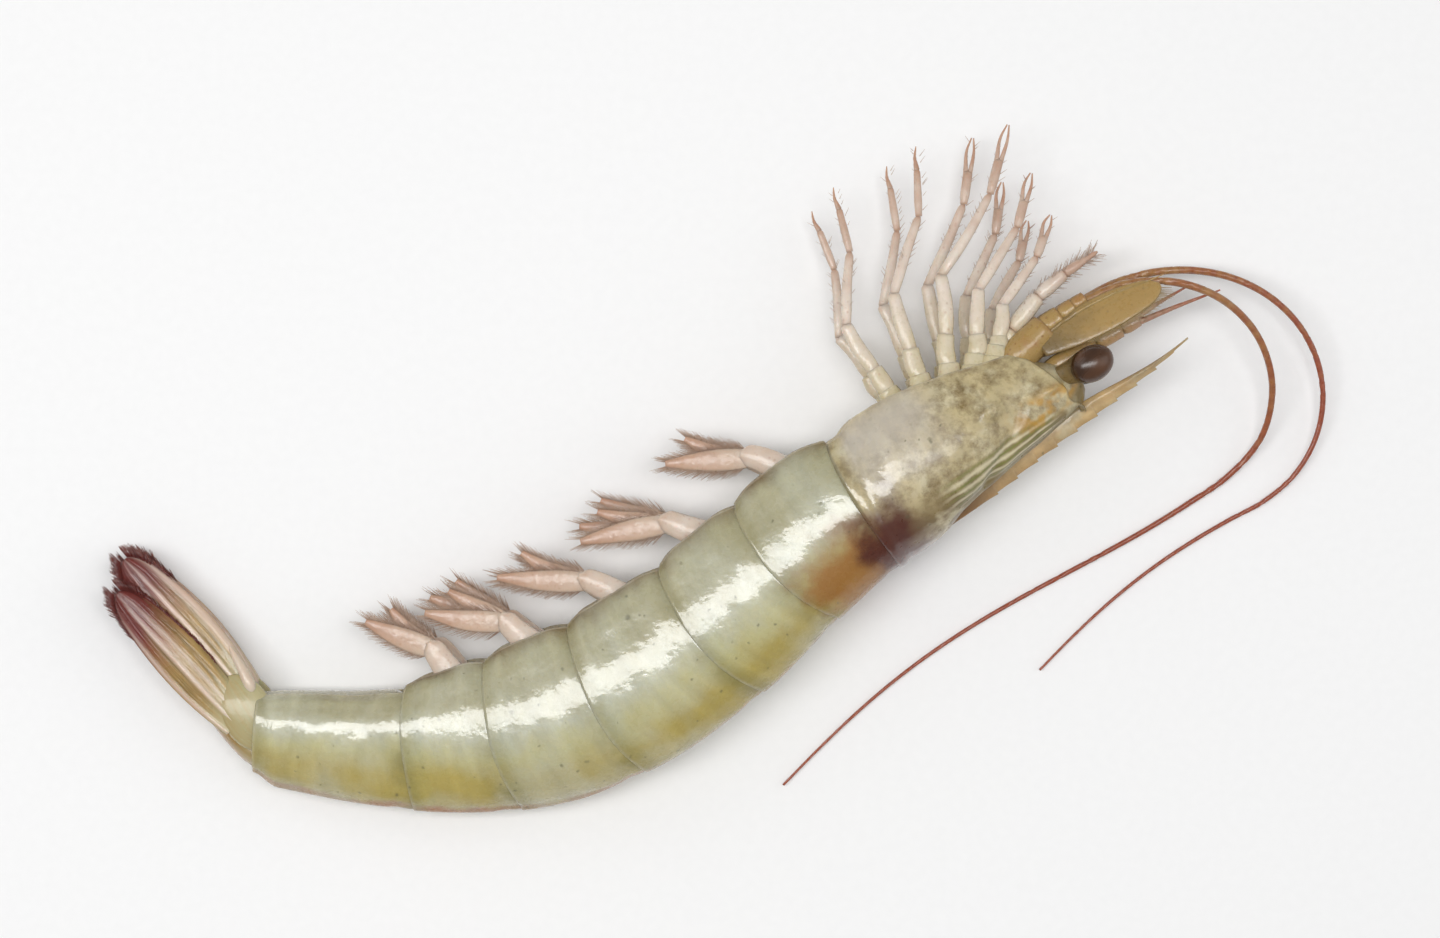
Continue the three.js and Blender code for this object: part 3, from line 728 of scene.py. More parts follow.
    # The film of water is thickest on the flank, and along the rear of the head shell.
    wettest = (0.2,) * 3 if on_head else (1,) * 3
    film = add(tree, "ValToRGB", inputs={0: lie[1]}, stops=(
        (0.15, (0.25,) * 3), (0.38, wettest), (0.62, wettest), (0.8, (0.3,) * 3),
    ))
    if on_head:
        rear = add(tree, "MapRange", SOFT, {0: lie[0], 1: -7.5, 2: -4.0, 3: 0.0, 4: 1.0})
        film = add(tree, "Math", LARGER, {0: film, 1: rear})
    shader = add(tree, "BsdfPrincipled", inputs={
        "Base Color": base, "Roughness": rough, "IOR": CHITIN_IOR, "Normal": fine,
        "Subsurface Weight": 0.3, "Subsurface Radius": (1.0, 0.75, 0.4), "Subsurface Scale": 1.6 * MM,
        "Coat Weight": film, "Coat Roughness": 0.1, "Coat IOR": 1.5, "Coat Normal": fine,
    })
    add(tree, "OutputMaterial", inputs={"Surface": shader})
    return material


def limb_chitin(name, root, middle, tip, joint, wet=0.5):
    """Thin chitin of a limb, moulded as hollow articles: clear and pinkish, darker at the joints.

    It lets light through, so the eye sees pale waxy rods with a wet gleam and reddish joints."""
    material, tree = new_tree(name)
    spot = add(tree, "TexCoord", out="Object")
    lie, marks = kept_on_points(tree, LAYERS[:2])
    mottle = add(tree, "TexNoise", inputs={"Vector": spot, "Scale": per(1.8), "Detail": 3.0})
    grain = add(tree, "TexNoise", inputs={"Vector": spot, "Scale": per(0.45), "Detail": 2.0})
    wander = add(tree, "Math", TIMES_PLUS, {0: mottle, 1: 0.5, 2: -0.25})
    along = add(tree, "Math", PLUS, {0: lie[0], 1: wander})
    base = add(tree, "ValToRGB", inputs={0: along}, stops=((0.05, root), (0.5, middle), (0.95, tip)))
    cell = add(tree, "TexVoronoi", inputs={"Vector": spot, "Scale": per(0.9)}, out="Distance")
    for amount, hue in (
        (add(tree, "Math", TIMES, {0: marks[0], 1: 0.55}), joint),
        (add(tree, "Math", TIMES, {0: marks[1], 1: 0.35}), tip),
        (add(tree, "MapRange", inputs={0: cell, 1: 0.1, 2: 0.22, 3: 0.4, 4: 0.0}), joint),
    ):
        base = add(tree, "Mix", OVER, {0: amount, 6: base, 7: (*hue, 1)}, out=2)
    rough = add(tree, "MapRange", inputs={0: grain, 1: 0.3, 2: 0.7, 3: 0.22, 4: 0.42})
    relief = add(tree, "Bump", inputs={"Strength": 1.0, "Distance": 0.07 * MM, "Height": mottle})
    relief = add(tree, "Bump", inputs={
        "Strength": 1.0, "Distance": 0.02 * MM, "Height": grain, "Normal": relief,
    })
    shader = add(tree, "BsdfPrincipled", inputs={
        "Base Color": base, "Roughness": rough, "IOR": CHITIN_IOR, "Normal": relief,
        "Subsurface Weight": 0.35, "Subsurface Radius": (1.0, 0.7, 0.5), "Subsurface Scale": 0.8 * MM,
        "Coat Weight": wet, "Coat Roughness": 0.08, "Coat IOR": WATER_IOR, "Coat Normal": relief,
    })
    add(tree, "OutputMaterial", inputs={"Surface": shader})
    return material


def blade_chitin(name, hues):
    """Stiff ribbed chitin of the tail fan, thin as a leaf: gold brown between whitish ribs, with dark
    red pigment gathered in the tips, so that the eye sees stripes running out into wet red ends.
    The whitish pink of the ribs is partly their own paler colour and partly a painted highlight."""
    material, tree = new_tree(name)
    spot = add(tree, "TexCoord", out="Object")
    lie, marks = kept_on_points(tree, LAYERS[:2])
    mottle = add(tree, "TexNoise", inputs={"Vector": spot, "Scale": per(2.0), "Detail": 3.0})
    # Fine rays run from root to tip, about 0.5 mm apart.
    rays = add(tree, "CombineXYZ", inputs={
        0: add(tree, "Math", TIMES, {0: lie[0], 1: 2.2}), 1: add(tree, "Math", TIMES, {0: lie[1], 1: 5.5}),
    })
    rays = add(tree, "TexNoise", inputs={"Vector": rays, "Scale": 1.0, "Detail": 3.0, "Roughness": 0.6})
    wander = add(tree, "Math", TIMES_PLUS, {0: rays, 1: 0.4, 2: -0.2})
    along = add(tree, "Math", PLUS, {0: lie[0], 1: wander})
    # The red starts sooner on the side of the back.
    along = add(tree, "Math", TIMES_PLUS, {0: lie[1], 1: 0.07, 2: along})
    base = add(tree, "ValToRGB", inputs={0: along}, stops=(
        (0.05, hues.tail_root), (0.28, hues.tail), (0.46, hues.tail), (0.8, hues.tail_tip),
        (1.0, hues.tail_tip),
    ))
    streak = add(tree, "MapRange", inputs={0: rays, 1: 0.35, 2: 0.66, 3: 0.6, 4: 1.25})
    streak = add(tree, "CombineXYZ", inputs={0: streak, 1: streak, 2: streak})
    rayed = add(tree, "MapRange", SOFT, {0: lie[0], 1: 0.08, 2: 0.34, 3: 0.15, 4: 1.0})
    base = add(tree, "Mix", TINT, {0: rayed, 6: base, 7: streak}, out=2)
    # The whitish pink of the ribs, fading towards the red tips, is partly their own colour and partly a
    # painted highlight.
    rib = add(tree, "MapRange", inputs={0: along, 1: 0.7, 2: 0.98, 3: 0.75, 4: 0.12})
    rib = add(tree, "Math", TIMES, {0: marks[0], 1: rib})
    base = add(tree, "Mix", OVER, {0: rib, 6: base, 7: (*hues.tail_rib_and_highlight, 1)}, out=2)
    relief = add(tree, "Bump", inputs={"Strength": rayed, "Distance": 0.12 * MM, "Height": rays})
    relief = add(tree, "Bump", inputs={
        "Strength": 1.0, "Distance": 0.05 * MM, "Height": mottle, "Normal": relief,
    })
    rough = add(tree, "MapRange", inputs={0: mottle, 1: 0.3, 2: 0.7, 3: 0.2, 4: 0.4})
    shader = add(tree, "BsdfPrincipled", inputs={
        "Base Color": base, "Roughness": rough, "IOR": CHITIN_IOR, "Normal": relief,
        "Subsurface Weight": 0.2, "Subsurface Radius": (1.0, 0.5, 0.3), "Subsurface Scale": 0.7 * MM,
        "Coat Weight": 0.5, "Coat Roughness": 0.07, "Coat IOR": WATER_IOR, "Coat Normal": relief,
    })
    add(tree, "OutputMaterial", inputs={"Surface": shader})
    return material


def cornea(name, hues):
    """The faceted cornea of a compound eye over black-brown pigment, wet: nearly black, with a small
    sharp gleam and a warmer brown where the light goes in at the side."""
    material, tree = new_tree(name)
    spot = add(tree, "TexCoord", out="Object")
    # Facets are too fine to show, so they are drawn at 0.16 mm.
    facets = add(tree, "TexVoronoi", inputs={
        "Vector": spot, "Scale": per(0.16), "Randomness": 0.3,
    }, out="Distance")
    mottle = add(tree, "TexNoise", inputs={"Vector": spot, "Scale": per(2.2), "Detail": 1.0})
    base = add(tree, "ValToRGB", inputs={0: mottle}, stops=(
        (0.35, hues.eye), (0.75, tuple(2.6 * part for part in hues.eye)),
    ))
    relief = add(tree, "Bump", inputs={"Strength": 0.6, "Distance": 0.012 * MM, "Height": facets})
    rough = add(tree, "MapRange", inputs={0: mottle, 1: 0.3, 2: 0.7, 3: 0.2, 4: 0.38})
    shader = add(tree, "BsdfPrincipled", inputs={
        "Base Color": base, "Roughness": rough, "IOR": 1.5, "Normal": relief,
        "Coat Weight": 0.35, "Coat Roughness": 0.1, "Coat IOR": WATER_IOR,
    })
    add(tree, "OutputMaterial", inputs={"Surface": shader})
    return material


# ---- Shell plates -----------------------------------------------------------------------------------

NECK_LOBE = 1 - LOBE_CUT
FAR = 9.0  # a distance at which no colour of a rim shows


def lobe_at(along):
    """Depth of a side plate along its ring: deepest in the middle, with rounded corners."""
    return 1 - 0.4 * LOBE_CUT * abs(2 * clamp(along) - 1) ** 4


def ripples(station, angle, hand, height, seed):
    """Soft unevenness of the shell: long ripples across the body and small dents."""
    across = noise.noise(Vector((station * 0.3, angle * 0.022 + hand * 7.3, seed)))
    dents = noise.noise(Vector((station * 0.5, angle * 0.05 + hand * 3.1, seed + 5.5)))
    return height * (across + 0.5 * dents) * smooth(angle, 3, 22)


def organ_marks(station, angle):
    """How strongly the liver and the stomach show through at a point of the skin."""
    station += 1.5 * noise.noise(Vector((station * 0.22, angle * 0.04, 3.7)))
    down = 0.35 * min(angle - 38, 0) + max(angle - 38, 0)
    liver = math.exp(-(abs((station - 5.0) / 6.0) ** 3 + abs(down / 48) ** 3))
    stomach = math.exp(-(abs((station + 0.9) / 4.6) ** 3 + abs(down / 46) ** 3))
    return liver, stomach


def edge_distance(angle):
    """About how far a point lies from the lower edge of the side plate."""
    return max(0.0, (SIDE_PLATE - angle) * 0.16)


def groove_shade_distance(forward, angle):
    """How far a point lies from the groove beside the crest, where dark olive is painted as shade."""
    return FAR if forward < 6 else 0.25 + abs(angle - 31) * 0.11 + 2 * (1 - smooth(forward, 6, 13))


class SHRIMP_OT_carapace(bpy.types.Operator):
    """Build the carapace with its crest and rostrum"""

    bl_idname = "shrimp.carapace"
    bl_label = "Carapace"

    def execute(self, context):
        sizes, hues = context.scene.shrimp_sizes, context.scene.shrimp_colours
        wall, height = sizes.rim / MM, sizes.ripple / MM

        def swell(station, angle, hand):
            forward = -station
            groove = bump(angle - 34 - 6.5 * (forward - 13), 0, 9)
            groove *= smooth(forward, 12, 14) * smooth(forward, 23, 20)
            side_groove = bump(angle, 88 + 3.4 * (forward - 19), 7) * smooth(forward, 16, 19)
            crest_groove = bump(angle, 34, 6) * smooth(forward, 8, 14)
            rear_groove = bump(forward, 1.7, 0.55)
            gill = bump(angle, 112, 36) * smooth(forward, 3.5, 9) * smooth(forward, 20, 14)
            out = 0.15 * bump(forward, 0.5, 0.7) - 0.12 * rear_groove - 0.5 * groove - 0.35 * side_groove
            out += 0.5 * gill - 0.25 * crest_groove
            # Two small spines point forward on the flank.
            out += 1.0 * bump(angle, 97, 4) * bump(forward, 18.0, 1.1)
            out += 0.9 * bump(angle, 88, 4) * bump(forward, 25.6, 1.1)
            # Beside the blade of the crest the back is lower.
            out -= 1.5 * bump(angle, 0, 27) * smooth(forward, 5, 13)
            return out + ripples(station, angle, hand, 1.3 * height, seed=2.0)

        rows = [(-SKIRT, 0.0), (-SKIRT, 0.6), (-SKIRT, 0.95), (-1.2, 0.955), (-0.2, 0.962)]
        rows += [(0.06, 0.966), (0.14, 0.978), (0.12, 0.99)]
        steps = 92
        rows += [(-CARAPACE_LENGTH * k / steps, 1.0) for k in range(steps + 1)]
        front = -CARAPACE_LENGTH
        rows += [(front - 0.3, 0.985), (front - 0.45, 0.965), (front - 0.35, 0.945), (front + 0.1, 0.92)]
        # The soft front of the head fills the opening.
        rows += [(front + 0.2, 0.87), (front - 0.3, 0.8), (front - 1.0, 0.68), (front - 1.6, 0.5)]
        rows += [(front - 1.9, 0.28), (front - 2.0, 0.0)]

        def place(row, around):
            station, fill = rows[row]
            forward = clamp(-station / CARAPACE_LENGTH)
            inside = row < 6
            lobe = NECK_LOBE if inside else lerp(NECK_LOBE, 1, smooth(forward * 6))

            def slant(angle):
                back_off = 5 * forward**4 * ((1 - math.cos(math.radians(angle))) / 2) ** 2
                return back_off + 0.9 * bump(angle, 60, 15) * smooth(forward, 0.88, 1.0)

            skin = swell if fill == 1 else None
            point, angle, hand = skin_point(station, around, fill, lobe, 0, wall, swell=skin, slant=slant)
            liver, stomach = organ_marks(station, angle)
            gill = bump(angle, 122, 30) * smooth(-station, 0, 3) * smooth(-station, 15, 9)
            # The first rim distance is to the groove beside the crest, where shade is painted dark olive.
            return (
                point, (station, angle / 180, hand), (liver, stomach, gill),
                (groove_shade_distance(-station, angle), max(-station, 0.0), edge_distance(angle)),
            )

        bm = bmesh.new()
        ball_net(bm, sides=168, rows=len(rows) - 1, place=place)
        bmesh.ops.transform(bm, matrix=HEAD_FRAME, verts=self.rostrum(bm, sizes))
        piece(bm, "carapace_plate", [chitin("chitin_head_shell", hues, on_head=True)], "carapace")
        return {"FINISHED"}

    def rostrum(self, bm, sizes):
        """The crest and the toothed rostrum, one thin blade, in the head's frame."""
        crest = Route(CREST)
        tooth, half = sizes.tooth / MM, sizes.rostrum_width / MM / 2
        rows = 300
        tops = [crest.at((row - 1) / (rows - 2))[0] for row in range(rows + 1)]

        def place(row, around):
            along = clamp((row - 1) / (rows - 2))
            top = tops[row]
            rise = (along - 0.05) * (ROSTRUM_TEETH + 1.4)
            toothed = tooth * (rise % 1) ** 1.8 * smooth(along, 0.1, 0.25) * smooth(along, 0.97, 0.88)
            deep = 2.3 * smooth(along, -0.04, 0.1) * (1 - 0.9 * smooth(along, 0.52, 1.0))
            if row in (0, rows):
                return top + Vector((0, deep / 2, 0)), (-top.x, -0.25, 0), (0, 0, 0), (FAR, FAR, FAR)
            up = (1 + math.cos(around)) / 2
            y = lerp(top.y + deep, top.y - toothed, up)
            width = half * (1 - 0.8 * along) * abs(math.sin(around)) ** 0.7 * (1.2 - 0.8 * up)
            # A ridge runs along each side of the rostrum.
            width += 0.16 * bump(up, 0.3, 0.12) * smooth(along, 0.5, 0.6) * smooth(along, 1.0, 0.9)
            made = Vector((top.x + 0.8 * toothed * up**2, y, math.copysign(width, math.sin(around))))
            return made, (-top.x, -0.2 - 0.1 * up, 1), (0, 0, 0), (FAR, FAR, FAR)

        return ball_net(bm, sides=20, rows=rows, place=place)


class SHRIMP_OT_rings(bpy.types.Operator):
    """Build the six rings of the abdomen"""

    bl_idname = "shrimp.rings"
    bl_label = "Abdomen Rings"

    def execute(self, context):
        sizes, hues = context.scene.shrimp_sizes, context.scene.shrimp_colours
        shell = chitin("chitin_abdomen_shell", hues, on_head=False)
        for index, (length, _heading) in enumerate(RINGS):
            bm = bmesh.new()
            self.ring(bm, index, length, sizes)
            piece(bm, f"ring_{index + 1}_plate", [shell], f"ring_{index + 1}")
        return {"FINISHED"}

    def ring(self, bm, index, length, sizes):
        start, end = RING_STARTS[index], RING_STARTS[index] + length
        last = index == len(RINGS) - 1
        wall, height = sizes.rim / MM, sizes.ripple / MM
        rows = [(start - NECK, 0.0), (start - NECK, 0.6), (start - NECK, 0.9)]
        rows += [(start - 1.2, 0.93), (start - 0.3, 0.955)]
        front = len(rows)
        steps = round(length / 0.3)
        for k in range(steps + 1):
            rows.append((start + length * k / steps, 0.978 + 0.022 * clamp(k / steps / 0.85)))
        outer_end = len(rows)
        if last:
            rows += [(end + 0.12, 0.985), (end + 0.1, 0.95), (end - 0.3, 0.9)]
            rows += [(end - 0.6, 0.6), (end - 0.7, 0.0)]
        else:
            rows += [(end + 0.1, 0.994), (end + 0.13, 0.988), (end + 0.05, 0.982), (end - 0.2, 0.976)]
            rows += [(end - 1.2, 0.968), (end - SKIRT, 0.96), (end - SKIRT, 0.6), (end - SKIRT, 0.0)]

        def along_ring(station):
            return (station - start) / length

        def swell(station, angle, hand):
            behind, before = station - start, end - station
            out = -0.13 * bump(behind, 1.9, 0.8) * smooth(angle, 74, 50)
            # The hinge knob on the flank, where one ring turns on the next.
            out += 0.1 * bump(behind, 1.3, 1.2) * bump(angle, 108, 8)
            # A firm bar crosses the underside where the swimmerets come out, between folds of thin skin.
            under = 0.0 if last else smooth(angle, 157, 163)
            bar = bump(along_ring(station), SWIMMERETS_AT, 0.17)
            fold = bump(along_ring(station), 0.98, 0.2)
            out += under * (1.3 * bar - 1.0 * fold + 0.5 * bump(angle, 180, 7))
            out += 0.22 * under * (1 - bar) * math.cos(2.6 * station + 0.05 * angle)
            if last:
                # Its rear corner is rounded off, and its underside is full.
                out -= 1.15 * smooth(before, 3.4, 0) ** 1.4 * bump(angle, 0, 60)
                out += 0.9 * smooth(angle, 155, 178) * smooth(behind, 0, 2)
            # The side plate stands off a little from the flank.
            out += 0.25 * smooth(angle, 112, 124) * smooth(before, 0, 3) * smooth(behind, 0, 3)
            return out + ripples(station, angle, hand, height, seed=10.0 + index)

        def place(row, around):
            station, fill = rows[row]
            outside = front <= row < outer_end
            lobe = lobe_at(along_ring(station)) if outside and not last else NECK_LOBE
            keel = sizes.keel / MM * smooth(station, KEEL_FROM, KEEL_FROM + 8)
            rounded = outside or (last and row >= outer_end)
            skin = swell if rounded else None
            point, angle, hand = skin_point(station, around, fill, lobe, keel, wall, swell=skin)
            liver, stomach = organ_marks(station, angle)
            # The last ring has no bar, and its underside keeps the colour of the side plates. On the other
            # rings the whole underside is a little paler and the bars paler still, while the corners beside
            # the side plates stay darker as painted shade.
            bar = 0.15 + 0.85 * bump(along_ring(station), SWIMMERETS_AT, 0.22)
            bar *= smooth(angle, 154, 160)
            shade, bar = (min(angle / 180, 0.72), 0.0) if last else (angle / 180, bar)
            return (
                point, (station, shade, hand), (liver, stomach, bar),
                (max(station - start, 0.0), max(end - station, 0.0), edge_distance(angle)),
            )

        ball_net(bm, sides=156, rows=len(rows) - 1, place=place)


# ---- Limbs of the head, in the head's frame: x forwards, y to the belly, z to the left ----------------


def underside_at(station, off):
    """How deep the underside lies, at a distance from the middle."""
    _x, _y, _turned, _back, belly, half, _bow = line_at(station)
    inward = 1 - clamp(abs(off) / (half * EDGE_WIDTH))
    return belly * lerp(1 - LOBE_CUT / 2, UNDERSIDE, math.sin(inward * math.pi / 2))


def rounded_end(along, start, power):
    """How the width of a leaf goes down to its rounded end, from a share of its length on."""
    return math.sqrt(1 - 0.9 * clamp((along - start) / (1 - start)) ** power)


def ringed(along, turns):
    """The darker rings of a feeler's many short articles."""
    return 0.3 * (1 + math.cos(turns * along))


def limb_finish(hues):
    """The finish that the mouth legs and the walking legs share."""
    made = bpy.data.materials.get("chitin_leg")
    return made or limb_chitin("chitin_leg", hues.limb_root, hues.limb, hues.limb_tip, hues.limb_tip)


class SHRIMP_OT_eyes(bpy.types.Operator):
    """Build the two eyes on their stalks"""

    bl_idname = "shrimp.eyes"
    bl_label = "Eyes"

    def execute(self, context):
        hues = context.scene.shrimp_colours
        stalk = limb_chitin("chitin_eye_stalk", hues.head_mottle, hues.head_mottle, hues.eye, hues.speck)
        ball = cornea("cornea_wet", hues)
        spread = Vector((1.2, 0.95, 0.8)) * EYE_RADIUS
        for side, hand in SIDES:
            bm = bmesh.new()
            rise = ((26.6, 0.6, 1.6 * hand), (28.6, 0.35, 2.6 * hand), (30.6, 0.1, 3.7 * hand))
            tube(bm, rise, lambda along: (
                1.3 + 0.65 * smooth(along, 0.3, 1), 1.1 + 0.55 * smooth(along, 0.3, 1),
            ), rows=20, sides=24)
            stalk_faces = len(bm.faces)
            middle = Vector((31.0, 0.0, 4.1 * hand))

            def place(row, around, middle=middle):
                polar = math.pi * row / EYE_ROWS
                wide = math.sin(polar)
                lean = Vector((wide * math.cos(around), wide * math.sin(around), math.cos(polar)))
                return middle + lean * spread, (row / EYE_ROWS, 0, 0)

            ball_net(bm, sides=32, rows=EYE_ROWS, place=place)
            bm.faces.ensure_lookup_table()
            for face in bm.faces[stalk_faces:]:
                face.material_index = 1
            piece(bm, f"eye_{side}_ball", [stalk, ball], f"eye_{side}", HEAD_FRAME)
        return {"FINISHED"}


class SHRIMP_OT_antennal_scales(bpy.types.Operator):
    """Build the two leaf-shaped scales beside the feelers"""

    bl_idname = "shrimp.antennal_scales"
    bl_label = "Antennal Scales"

    def execute(self, context):
        sizes, hues = context.scene.shrimp_sizes, context.scene.shrimp_colours
        leaf = limb_chitin(
            "chitin_antennal_scale", hues.head_mottle, hues.scale, hues.scale, hues.head_mottle
        )
        chance = random.Random(31)
        for side, hand in SIDES:
            bm = bmesh.new()
            root, tip = Vector((27.0, 4.6, 3.1 * hand)), Vector((42.5, 3.7, 3.5 * hand))
            middle = (root + tip) / 2 + Vector((0, 0.2, 0.5 * hand))
            route = Route((root, middle, tip))

            def half_at(along):
                broad = 0.5 + 1.75 * math.sin(math.pi * clamp(0.1 + 0.8 * along)) ** 0.8
                return broad * rounded_end(along, 0.84, 2.4)

            def marks(along, around):
                rim = 0.9 * bump(abs(math.cos(around)), 0.97, 0.06)
                return (along, 0, 0), (rim + 0.5 * bump(math.cos(around), 0.3, 0.05), 0, 0)

            # The leaf is tilted, with its outer edge lower.
            tilt = Vector((0, 1, -0.35 * hand))
            across = Vector((0, 0.35 * hand, 1))
            tube(
                bm, route, lambda along: (half_at(along), 0.3), rows=40, sides=48, marks=marks, across=across
            )
            # The stiff rib along the outer edge ends in a spine.
            proud = Vector((0, 0, 0.12 * hand))
            rib = [route.at(k / 8)[0] + tilt * 0.7 * half_at(k / 8) + proud for k in range(8)]
            rib.append(tip + Vector((1.0, 0.9, -0.3 * hand)))
            tube(bm, rib, lambda along: (0.36 * (1 - 0.85 * along),) * 2, rows=30, sides=10)
            strands = []
            for k in range(56):
                along = 0.3 + 0.7 * k / 55
                at, way = route.at(along)
                start = at - tilt * half_at(along) * 0.85
                lean = (way * 0.8 + Vector((0, -0.9 + 0.5 * along, 0))).normalized()
                strands.append((start, start + lean * chance.uniform(1.0, 1.9)))
            hairs(bm, strands, sizes.hair / MM * 0.9)
            name = f"antennal_scale_{side}"
            piece(bm, f"{name}_leaf", [leaf], name, HEAD_FRAME)
        return {"FINISHED"}


class SHRIMP_OT_antennules(bpy.types.Operator):
    """Build the two short forked feelers"""

    bl_idname = "shrimp.antennules"
    bl_label = "Antennules"

    def execute(self, context):
        hues = context.scene.shrimp_colours
        skin = limb_chitin("chitin_antennule", hues.scale, hues.limb_tip, hues.feeler, hues.head_mottle)
        for side, hand in SIDES:
            bm = bmesh.new()
            stops = [Vector(p) for p in (
                (26.0, 1.9, 0.9 * hand), (33.0, 1.8, 1.1 * hand),
                (36.4, 1.6, 1.15 * hand), (38.7, 1.5, 1.2 * hand),
            )]
            for k, (a, b) in enumerate(zip(stops, stops[1:])):
                share = (0.15 * k, 0.15 * k + 0.15)
                article(bm, a, b, 1.15 - 0.15 * k, 1.0 - 0.15 * k, flat=0.65, share=share)
            lashes = (
                ((38.2, 1.3, 1.2 * hand), (43, 0.6, 1.1 * hand), (48.5, -0.4, 0.9 * hand)),
                ((38.2, 1.8, 1.2 * hand), (42, 2.0, 1.2 * hand), (46, 1.9, 1.0 * hand)),
            )
            for lash, radius in zip(lashes, (0.4, 0.32)):
                tube(
                    bm, lash, lambda along, radius=radius: (radius * (1 - 0.75 * along),) * 2,
                    rows=44, sides=10,
                    marks=lambda along, around: ((0.5 + 0.5 * along, 0, 0), (ringed(along, 60), 0, 0)),
                )
            piece(bm, f"antennule_{side}_lash", [skin], f"antennule_{side}", HEAD_FRAME)
        return {"FINISHED"}


class SHRIMP_OT_antennae(bpy.types.Operator):
    """Build the two long feelers"""

    bl_idname = "shrimp.antennae"
    bl_label = "Antennae"

    def execute(self, context):
        sizes, hues = context.scene.shrimp_sizes, context.scene.shrimp_colours
        skin = limb_chitin("chitin_feeler", hues.scale, hues.feeler, hues.feeler, hues.tail_tip, wet=0.4)
        radius = sizes.feeler / MM
        floor = radius - height_at(0)
        for side, hand in SIDES:
            bow, trail = FEELERS[side]
            bm = bmesh.new()
            root, bend = Vector((28.2, 6.3, 2.0 * hand)), Vector((34.5, 6.9, 2.2 * hand))
            for a, b, radius_a, radius_b, share in (
                (Vector((22.6, 4.7, 1.9 * hand)), root.lerp(bend, 0.15), 2.1, 1.75, (0, 0.05)),
                (root, root.lerp(bend, 0.45), 1.4, 1.25, (0, 0.05)),
                (root.lerp(bend, 0.4), root.lerp(bend, 0.75), 1.1, 1.0, (0.05, 0.1)),
                (root.lerp(bend, 0.7), bend, 0.95, 0.8, (0.1, 0.15)),
            ):
                article(bm, a, b, radius_a, radius_b, flat=0.9, share=share)
            route = [bend + Vector((-0.8, -0.1, 0))]
            stride = (bow + trail) / FEELER_STEPS
            for i in range(1, FEELER_STEPS + 1):
                turned = min(1, i * stride / bow)
                wave = 9 * math.sin(i / FEELER_STEPS * 2.4 * math.pi)
                step = away(route[-1], stride, 8 - 182 * turned**1.15 + wave * turned)
                step.z = lerp(bend.z, floor, smooth(turned, 0.3, 1))
                route.append(step)
            tube(
                bm, route, lambda along: (radius * (1 - 0.72 * along),) * 2, rows=220, sides=10,
                marks=lambda along, around: ((0.15 + 0.85 * along, 0, 0), (ringed(along, 420), 0, 0)),
            )
            piece(bm, f"antenna_{side}_lash", [skin], f"antenna_{side}", HEAD_FRAME)
        return {"FINISHED"}


class SHRIMP_OT_mouth_legs(bpy.types.Operator):
    """Build the pair of leg-like mouth limbs under the head"""

    bl_idname = "shrimp.mouth_legs"
    bl_label = "Mouth Legs"

    def execute(self, context):
        sizes, hues = context.scene.shrimp_sizes, context.scene.shrimp_colours
        chance = random.Random(47)
        for side, hand in SIDES:
            bm = bmesh.new()
            stops = [Vector(p) for p in (
                (20.6, 5.4, 1.3 * hand), (25.4, 8.1, 1.3 * hand), (30.0, 9.9, 1.4 * hand),
                (34.0, 10.6, 1.5 * hand), (38.5, 10.8, 1.4 * hand),
            )]
            radii = (1.15, 0.98, 0.85, 0.68, 0.2)
            for k, (a, b) in enumerate(zip(stops, stops[1:])):
                article(bm, a, b, radii[k], radii[k + 1], flat=0.85, share=(k / 4, (k + 1) / 4))
            route = Route(stops[1:])
            strands = []
            for _k in range(90):
                at, way = route.at(chance.uniform(0.05, 1))
                aside = chance.choice((-1, 1)) * chance.uniform(0.3, 0.8)
                spread = Vector((0, aside, chance.uniform(-0.6, 0.6)))
                start = at + spread * 0.5
                strands.append((start, start + (way * 0.9 + spread).normalized() * chance.uniform(0.9, 1.9)))
            hairs(bm, strands, sizes.hair / MM * 0.8)
            piece(bm, f"mouth_leg_{side}_limb", [limb_finish(hues)], f"mouth_leg_{side}", HEAD_FRAME)
        return {"FINISHED"}


